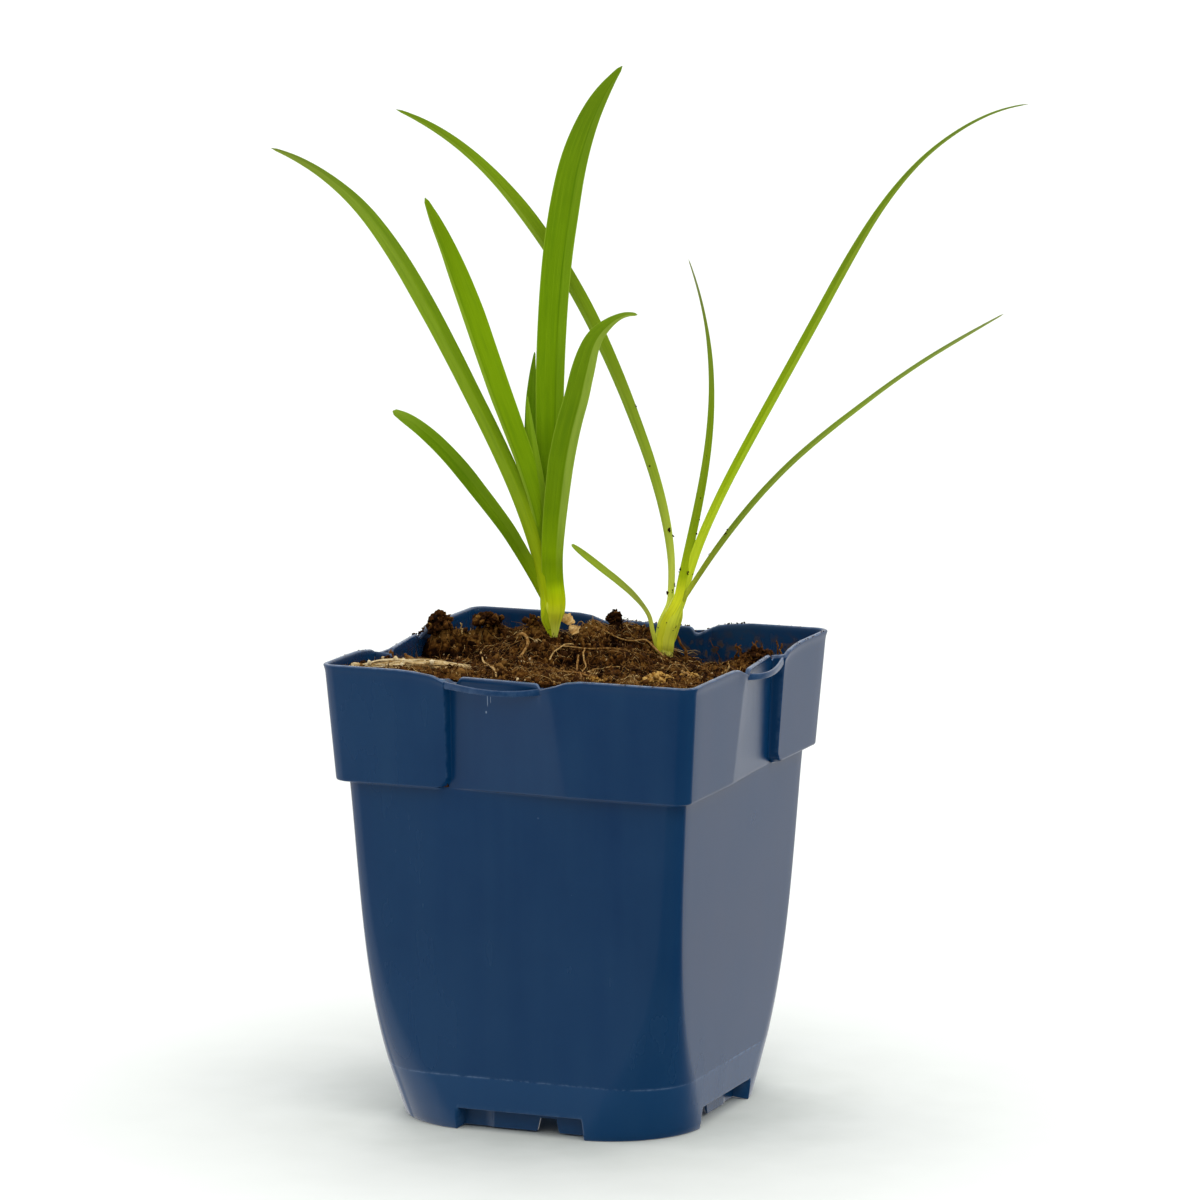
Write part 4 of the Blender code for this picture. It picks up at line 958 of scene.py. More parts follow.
# litter: paths are (x, y, height over the smooth bed); radii at start and end, tint 0 dark to 1 pale
litter = dict(
    straw=dict(path=((-41.5, -35.0, 0.5), (-37.0, -34.0, 0.9), (-31.5, -32.5, 1.2), (-26.0, -31.0, 1.2),
                     (-20.5, -28.5, 1.1), (-15.5, -22.5, 0.9), (-13.0, -13.0, 1.2)),
               spread=((0.0, 1.7, 0.9), (0.25, 2.2, 1.1), (0.5, 1.9, 0.9), (0.75, 1.0, 0.6),
                       (1.0, 0.35, 0.25)),
               strands=120, flakes=90),
    roots={
        "root_loop": (((-15.5, -21.0, 0.9), (-14.2, -13.0, 1.1), (-12.8, -5.0, 1.3), (-13.2, 1.0, 1.5),
                       (-15.2, 5.6, 1.7), (-19.2, 8.6, 1.7), (-23.5, 11.5, 0.9)), 0.34, 0.5, 0.74),
        "root_red": (((15.2, 21.2, 7.6), (16.8, 21.6, 5.9), (17.8, 21.9, 4.0), (18.4, 22.0, 1.8),
                      (18.7, 22.0, -0.4)), 0.3, 0.45, 0.56),
        "rootlet_left": (((-38.4, -19.6, 4.2), (-38.2, -20.0, 3.0), (-37.5, -20.0, 1.8),
                          (-36.2, -20.0, 0.3)), 0.22, 0.32, 0.55),
        "rootlet_mid": (((34.0, 12.0, 5.2), (34.3, 12.0, 4.2), (35.0, 12.0, 3.0),
                         (36.0, 12.0, 1.6)), 0.16, 0.3, 0.52),
        "rootlet_right": (((37.1, 14.0, 5.0), (37.6, 14.0, 4.4), (38.6, 14.0, 3.6),
                           (39.9, 14.0, 2.6)), 0.18, 0.3, 0.53),
        "rootlet_back": (((40.9, 20.0, 6.6), (41.0, 20.0, 5.2), (41.2, 20.0, 3.6),
                          (41.0, 20.0, 2.6)), 0.2, 0.26, 0.54),
        "root_front": (((-4.0, -31.0, 0.6), (4.0, -28.0, 1.3), (12.0, -25.5, 1.1),
                        (20.0, -26.5, 0.4)), 0.25, 0.3, 0.66),
    },
    strays=(
        (((-27.6, 7.5, 1.6), (-23.0, -3.0, 1.5), (-16.0, -17.0, 1.5), (-8.5, -30.0, 1.6),
          (-4.5, -38.5, 0.9)), 0.2, 0.24, 0.9),
        (((-37.0, -15.5, 3.1), (-34.3, -16.0, 1.9), (-31.0, -16.3, 0.6),
          (-29.0, -17.0, 0.2)), 0.42, 0.34, 0.68),
        (((-29.0, -12.0, 0.0), (-28.1, -12.0, 1.2), (-27.2, -12.0, 2.8)), 0.14, 0.12, 0.8),
        (((-35.6, 14.0, 2.2), (-35.2, 14.0, 1.0), (-35.1, 13.6, 0.0)), 0.14, 0.2, 0.95),
        (((-5.4, -5.0, 0.8), (-5.2, -2.0, 1.6), (-4.5, 1.4, 1.7), (-3.2, 4.6, 0.9)), 0.2, 0.15, 0.9),
        (((0.4, -1.6, 1.6), (4.5, -12.0, 1.5), (9.5, -24.0, 1.5), (13.6, -33.0, 0.8)), 0.24, 0.22, 0.72),
        (((1.0, 0.5, 2.4), (3.4, -5.0, 2.0), (7.0, -15.0, 1.4), (11.0, -24.0, 0.6)), 0.18, 0.18, 0.8),
        (((-4.0, 12.5, 1.2), (2.5, 15.0, 1.6), (7.7, 17.9, 1.3), (11.4, 17.2, 1.0), (17.0, 13.0, 1.0),
          (24.0, 2.0, 1.0), (32.0, -15.0, 0.8)), 0.24, 0.2, 0.78),
        (((-10.0, 0.0, 1.0), (0.0, 2.5, 1.6), (9.0, 8.0, 1.4), (15.5, 12.0, 0.9),
          (20.0, 9.0, 0.6)), 0.2, 0.16, 0.74),
        (((15.7, 42.4, 6.3), (17.2, 42.4, 5.2), (18.2, 42.3, 3.0), (18.3, 42.2, 0.2)), 0.1, 0.14, 0.42),
        (((9.0, 42.3, 6.0), (10.7, 42.3, 5.2), (11.2, 42.2, 2.6), (11.0, 42.0, 0.4)), 0.12, 0.14, 0.4),
        (((34.9, 12.2, 4.6), (34.3, 12.0, 3.4), (34.0, 12.0, 2.0)), 0.2, 0.22, 0.5),
        (((38.4, 14.0, 5.2), (37.6, 14.0, 4.2), (36.8, 14.0, 2.6)), 0.18, 0.2, 0.55),
        (((39.3, 14.5, 4.8), (39.0, 14.4, 3.6), (38.4, 14.2, 2.2)), 0.14, 0.18, 0.5),
        (((41.9, 20.5, 6.2), (41.9, 20.2, 4.0), (41.8, 20.0, 2.4)), 0.24, 0.3, 0.6),
        (((35.3, 3.0, 2.6), (35.0, 3.0, 1.4), (34.8, 3.0, 0.2)), 0.2, 0.28, 0.92),
        (((28.0, -8.0, 0.6), (30.5, -12.0, 1.5), (32.5, -16.0, 1.3),
          (35.0, -20.0, 0.4)), 0.3, 0.24, 0.76),
        (((26.0, -2.0, 0.4), (28.5, -6.0, 1.3), (31.5, -8.0, 0.7)), 0.34, 0.3, 0.86),
        (((-22.0, -12.0, 0.6), (-19.0, -7.0, 1.4), (-18.0, 0.0, 1.0)), 0.2, 0.18, 0.62),
        (((-33.0, 1.0, 0.6), (-29.5, -3.0, 1.4), (-26.0, -9.0, 1.0),
          (-25.0, -15.0, 0.4)), 0.22, 0.18, 0.58),
        (((20.0, 16.0, 0.4), (23.0, 12.0, 1.2), (27.0, 10.0, 1.0), (30.0, 6.0, 0.3)), 0.22, 0.18, 0.66),
        (((5.0, -12.0, 0.4), (8.0, -9.0, 1.6), (12.5, -8.0, 1.4), (16.0, -12.0, 0.3)), 0.18, 0.14, 0.84),
        (((-9.0, -20.0, 0.4), (-6.0, -14.0, 1.5), (-1.0, -12.0, 0.8)), 0.22, 0.14, 0.86),
    ),
    # clumps: (centre x, y, height over the bed), (radii), how many lumps, lump sizes, tint and its spread
    clumps={
        "peat_lump_left": ((-40.4, 12.6, -0.4), (2.3, 3.6, 2.8), 230, (0.3, 0.85), 0.40, 0.16),
        "peat_lump_back": ((-30.0, 17.0, 0.5), (3.2, 2.8, 1.6), 170, (0.3, 0.8), 0.42, 0.16),
        "peat_lump_mid": ((-1.6, 25.6, 2.6), (1.7, 1.8, 2.3), 150, (0.25, 0.6), 0.28, 0.12),
        "bark_chip": ((30.2, -28.0, 0.7), (3.3, 2.5, 1.5), 190, (0.25, 0.7), 0.9, 0.12),
    },
    moreClumps=(
        ((32.4, -12.5, 0.4), (2.8, 1.5, 1.0), 70, (0.25, 0.6), 0.84, 0.12),
        ((-23.4, 20.0, 0.8), (2.5, 1.8, 0.9), 90, (0.3, 0.7), 0.5, 0.08),
        ((-15.6, 10.2, 1.4), (1.6, 2.0, 1.7), 80, (0.25, 0.6), 0.46, 0.14),
        ((17.5, -34.0, 0.5), (2.2, 1.6, 1.0), 60, (0.25, 0.55), 0.86, 0.12),
        ((4.0, -30.0, 0.3), (2.4, 1.8, 1.0), 70, (0.25, 0.6), 0.36, 0.16),
        ((-2.0, -14.0, 0.4), (2.4, 1.9, 1.2), 80, (0.25, 0.6), 0.34, 0.16),
        ((38.5, 13.5, 1.4), (3.0, 5.0, 2.0), 190, (0.25, 0.7), 0.42, 0.14),
    ),
    # papery scales: foot (x, y, z), way up, way across, width, height, curl
    scales={
        "bulb_scale": ((-8.0, 10.6, 110.2), (0.42, 0.25, 0.87), (0.87, 0.1, -0.45), 3.9, 2.3, 0.9),
        "bulb_scale_small": ((-5.2, 8.4, 108.2), (0.5, -0.1, 0.86), (0.8, -0.35, -0.46), 2.6, 2.3, 0.7),
    },
    rimCrumbs=((2, -25.0, 13.0, 150, 0.34), (2, -41.0, 41.0, 30, 0.16), (1, -2.0, 41.0, 50, 0.16),
               (3, -24.0, -6.0, 70, 0.36), (3, -40.0, 40.0, 35, 0.18), (0, 20.0, 40.0, 12, 0.18)),
)


def rootStrand(path, first, last, seed, count=30):
    # one root: a rounded path over the bed, a wavering line, and a radius that swells and thins unevenly
    line = roundedPath(path, count)
    dice = np.random.default_rng(seed)
    t = np.linspace(0.0, 1.0, len(line))
    spots = [np.stack([t * 7.0, 0 * t + k + seed * 3.7], -1) for k in range(3)]
    sway = np.stack([valueNoise(spot, 90 + k) for k, spot in enumerate(spots)], -1)
    buried = 3.0 * np.maximum(0.35 - line[:, 2], 0.0)
    lowest = ground(line[:, 0], line[:, 1]) - bedUnder(line[:, 0], line[:, 1]) + 0.3 - buried
    lowest = np.convolve(np.pad(lowest, 3, mode="edge"), np.full(7, 1.0 / 7.0), "valid")
    line[:, 2] = bedUnder(line[:, 0], line[:, 1]) + np.maximum(line[:, 2], lowest)
    line = line + 0.45 * sway * np.minimum(4.0 * t * (1.0 - t) * 3.0, 1.0)[:, None]
    swell = 1.0 + 0.22 * valueNoise(np.stack([t * 12.0, 0 * t + seed], -1), 77)
    swell = swell + dice.uniform(-0.05, 0.05, len(t))
    end = np.clip(np.minimum(t, 1.0 - t) / 0.04, 0.25, 1.0) ** 0.5
    return line, mix(first, last, t) * swell * end


def buildRoots():
    for seed, (name, (path, first, last, tint)) in enumerate(litter["roots"].items()):
        line, radius = rootStrand(path, first, last, seed + 1, 44)
        points, quads, caps = tubes(line[None], radius[None], 9)
        makePiece("litter_" + name, points, quads, caps, fibreSkin, [name], layers={"tint": tint})
    shapes = [(*rootStrand(path, first, last, seed + 31), tint)
              for seed, (path, first, last, tint) in enumerate(litter["strays"])]
    points, quads, caps = tubes(np.array([line for line, radius, tint in shapes]),
                                np.array([radius for line, radius, tint in shapes]), 6)
    tints = np.repeat([tint for line, radius, tint in shapes], len(points) // len(shapes))
    makePiece("stray_roots", points, quads, caps, fibreSkin, layers={"tint": tints})


def buildStraw():
    # a flattened bundle: every strand follows the same line at its own place in the bundle's oval section
    data, dice = litter["straw"], np.random.default_rng(41)
    count, stations = data["strands"], 16
    line = roundedPath(data["path"], 200)
    line[:, 2] += bedUnder(line[:, 0], line[:, 1])
    line = line - [0.0, 0.0, 0.25]
    length = dice.uniform(0.18, 0.6, count)
    start = dice.uniform(-0.05, 1.0, count) ** 1.25 * (1.0 - length) * 0.95
    start = np.maximum(start, 0.0)
    share = start[:, None] + length[:, None] * np.linspace(0.0, 1.0, stations)[None, :]
    at = np.stack([np.interp(share, np.linspace(0, 1, len(line)), line[:, k]) for k in range(3)], -1)
    along = unit(np.gradient(at, axis=1) * [1.0, 1.0, 0.0])
    side = np.stack([-along[..., 1], along[..., 0], 0.0 * along[..., 0]], -1)
    stops, wide, high = np.array(data["spread"]).T
    turn, reach = dice.uniform(0, 2 * math.pi, (count, 1)), dice.uniform(0.2, 1.0, (count, 1))
    turn = turn + dice.normal(0, 0.5, (count, 1)) * np.linspace(-1, 1, stations)[None, :]
    wander = 0.22 * valueNoise(np.stack([share * 9.0, np.arange(count)[:, None] + 0.0 * share], -1), 12)
    at = at + side * (np.interp(share, stops, wide) * reach * np.cos(turn) + wander)[..., None]
    at[..., 2] += np.interp(share, stops, high) * reach * np.sin(turn) + 0.3 + wander
    slim = np.clip(1.2 - np.linspace(-1, 1, stations)[None, :] ** 4, 0.3, 1.0)
    radius = dice.uniform(0.09, 0.3, (count, 1)) * slim
    points, quads, caps = tubes(at, radius, 6)
    skin = scatterFinish("strawFinish", [(0.0, (0.14, 0.075, 0.022)), (0.3, (0.34, 0.21, 0.075)),
                                         (0.65, (0.58, 0.42, 0.19)), (1.0, (0.78, 0.66, 0.42))], 0.6)
    tint = np.repeat(np.clip(dice.normal(0.58, 0.22, count), 0.0, 1.0), 6 * stations)
    makePiece("straw_bundle", points, quads, caps, skin, ["straw_stalk"], layers={"tint": tint})
    spot = dice.integers(0, 130, data["flakes"])
    centres = line[spot] + dice.normal(0, 1, (len(spot), 3)) * [0.9, 1.2, 0.45] + [0.0, 0.0, 0.5]
    centres[:, :2] = np.clip(centres[:, :2], -42.0, 42.0)
    points, tris, each = lumpShapes(centres, dice.uniform(0.25, 0.75, len(spot)), dice)
    tint = np.repeat(dice.uniform(0.2, 1.0, len(spot)), each)
    makePiece("straw_flakes", points, [], tris, skin, layers={"tint": tint})


def clumpShape(data, dice):
    # lumps strewn through an oval heap, thickest near its skin
    (x, y, rise), radii, count, (low, high), tint, wide = data
    way = unit(dice.normal(size=(count, 3)))
    way[:, 2] = np.abs(way[:, 2]) * dice.choice([1.0, -0.4], count, p=[0.8, 0.2])
    reach = dice.uniform(0.35, 1.0, (count, 1)) ** 0.5
    centres = np.array([x, y, bedUnder(x, y) + rise]) + way * radii * reach
    centres = centres + dice.normal(0.0, 0.16, (count, 3)) * radii
    size = low + (high - low) * dice.uniform(0, 1, count) ** 1.6
    points, tris, each = lumpShapes(centres, size, dice)
    return points, tris, np.repeat(np.clip(dice.normal(tint, wide, count), 0.0, 1.0), each)


def buildClumps():
    dark = scatterFinish("clumpPeat", [(0.0, (0.004, 0.0012, 0.0003)), (0.3, (0.019, 0.006, 0.0014)),
                                       (0.6, (0.09, 0.034, 0.007)), (0.85, (0.34, 0.17, 0.03)),
                                       (1.0, (0.55, 0.34, 0.10))], 0.9)
    dice = np.random.default_rng(53)
    for name, data in litter["clumps"].items():
        points, tris, tint = clumpShape(data, dice)
        makePiece("clump_" + name, points, [], tris, dark, [name], layers={"tint": tint})
    points, tris, tint = zip(*[clumpShape(data, dice) for data in litter["moreClumps"]])
    starts = np.cumsum([0] + [len(part) for part in points[:-1]])
    tris = np.concatenate([part + start for part, start in zip(tris, starts)])
    makePiece("clumps", np.concatenate(points), [], tris, dark, layers={"tint": np.concatenate(tint)})
    centres, sizes = [], []
    for side, low, high, count, most in litter["rimCrumbs"]:
        s = dice.uniform(low, high, count)
        size = 0.06 + (most - 0.06) * dice.uniform(0, 1, count) ** 2.5
        out = potRimOut(s, side) + dice.uniform(-0.35, 0.4, count)
        flat = out[:, None] * faceNormals[side] + s[:, None] * faceTravels[side]
        height = potTop - rimDrop(s * faceSenses[side]) + size * 0.35 - 0.12
        centres.append(np.concatenate([flat, height[:, None]], axis=1))
        sizes.append(size)
    points, tris, each = lumpShapes(np.concatenate(centres), np.concatenate(sizes), dice)
    tint = np.repeat(dice.uniform(0.1, 0.55, len(points) // each), each)
    makePiece("rim_crumbs", points, [], tris, dark, layers={"tint": tint})


def potRimOut(s, side):
    # where the middle of the rim's wall stands at a place along a face
    middle = collarHalf(potTop) - 0.5 * pot["wall"] + pot["flare"]
    return middle - panelDepth(s * faceSenses[side], potTop, -0.4)


def buildScales():
    # a torn papery scale: a thin sheet, wider then narrowing, curled across and bent back, its rim ragged
    skin = scatterFinish("paperyScale", [(0.0, (0.28, 0.13, 0.03)), (0.4, (0.50, 0.28, 0.085)),
                                         (0.75, (0.66, 0.42, 0.16)), (1.0, (0.82, 0.64, 0.34))], 0.5, 0.7)
    for seed, (name, (foot, up, across, width, height, curl)) in enumerate(litter["scales"].items()):
        up, across = unit(np.array(up)), unit(np.array(across))
        face = unit(np.cross(across, up))
        v, u = np.meshgrid(np.linspace(0.0, 1.0, 26), np.linspace(-1.0, 1.0, 25), indexing="ij")
        ragged = 0.16 * fractal(np.stack([u * 3.0 + seed * 9, v * 3.0], -1), 61, 3)
        body = 0.32 + 0.75 * np.sin(math.pi * np.minimum(v * 0.72 + 0.08, 1.0))
        wide = width * (body + ragged * (np.abs(u) > 0.5))
        tall = height * (v + (ragged * 0.9 - 0.22 * u * u) * v * v)
        waves = 0.25 * fractal(np.stack([u * 2.0, v * 2.2], -1), 63 + seed, 3)
        bend = curl * (u * u * 0.9 - 1.3 * v * v) + waves
        middle = np.array(foot) + 0.5 * (wide * u)[..., None] * across + tall[..., None] * up
        middle = middle + bend[..., None] * face
        thin = 0.07 * np.sqrt(np.maximum(1.0 - u * u, 0.02))[..., None] * face
        points, quads, tris = closedTube(np.concatenate([middle + thin, (middle - thin)[:, ::-1]], axis=1))
        tint = 0.55 + 0.3 * fractal(np.stack([u * 5.0, v * 1.6], -1), 65, 3)
        tint = tint + 0.2 * np.abs(u) - 0.25 * (1.0 - v)
        tint = np.append(np.concatenate([tint, tint[:, ::-1]], axis=1).ravel(), [0.4, 0.6])
        makePiece("papery_" + name, points, quads, tris, skin, [name],
                  layers={"tint": np.clip(tint, 0.0, 1.0)})


buildRoots()
buildStraw()
buildClumps()
buildScales()
print("litter built")

# shoots and leaves
def paint(*colour):
    # a screen colour from 0 to 255, made linear for a shader
    return tuple(((c / 255 + 0.055) / 1.055) ** 2.4 if c > 10 else c / 255 / 12.92 for c in colour)


def fourStations(values, t):
    # the cubic through values at t = 0, 1/3, 2/3 and 1
    a, b, c, d = values
    x = 3.0 * t
    return (a * (1 - x) * (2 - x) * (3 - x) / 6 + b * x * (2 - x) * (3 - x) / 2
            - c * x * (1 - x) * (3 - x) / 2 + d * x * (1 - x) * (2 - x) / 6)


# each shoot's axis: (x, y, z, radius) from under the peat up to where its leaves part
shoots = dict(
    left=dict(
        axis=((-9.5, 8.0, 95.0, 0.3), (-9.5, 8.0, 103.0, 0.35), (-9.5, 8.0, 106.0, 0.45),
              (-9.5, 8.0, 108.0, 0.6), (-9.5, 8.0, 109.4, 0.95), (-9.6, 8.0, 111.0, 1.5),
              (-9.6, 8.0, 113.2, 2.2), (-9.8, 8.0, 115.0, 2.25), (-10.1, 8.1, 116.6, 1.75),
              (-10.3, 8.3, 118.0, 0.9), (-10.4, 8.4, 119.2, 0.3)),
        squash=0.92, seams=(0.4, 4.4),
        colours=((0.40, (150, 138, 62)), (0.52, (190, 196, 92)), (0.65, (186, 192, 52)),
                 (0.8, (174, 186, 18)), (1.0, (150, 168, 8)))),
    right=dict(
        axis=((13.4, 20.0, 93.0, 1.0), (13.4, 20.0, 99.5, 1.5), (13.4, 20.0, 103.2, 1.75),
              (13.7, 20.0, 106.7, 2.0), (14.5, 20.0, 109.7, 2.1), (15.3, 20.1, 112.6, 1.9),
              (16.1, 20.4, 115.4, 1.45), (16.7, 20.7, 117.6, 0.8), (17.1, 20.9, 119.4, 0.25)),
        squash=0.85, seams=(0.2, 1.9, 5.0),
        colours=((0.30, (158, 152, 62)), (0.42, (190, 194, 66)), (0.62, (187, 193, 48)),
                 (0.8, (182, 190, 36)), (1.0, (168, 182, 24)))),
)
blade = dict(
    faceHeading=-68.0, stations=96, sheathRows=20, ease=9.0, across=25, fullTilt=0.6,
    thickBase=0.5, thickFull=0.8, thickEdge=0.2, rimFrom=0.92,
    # gain and baseGain brighten leaf and shoot colours as painted light, most at the base
    pale=(160, 186, 60), sheen=(168, 190, 80), gain=1.04, baseGain=0.55,
)
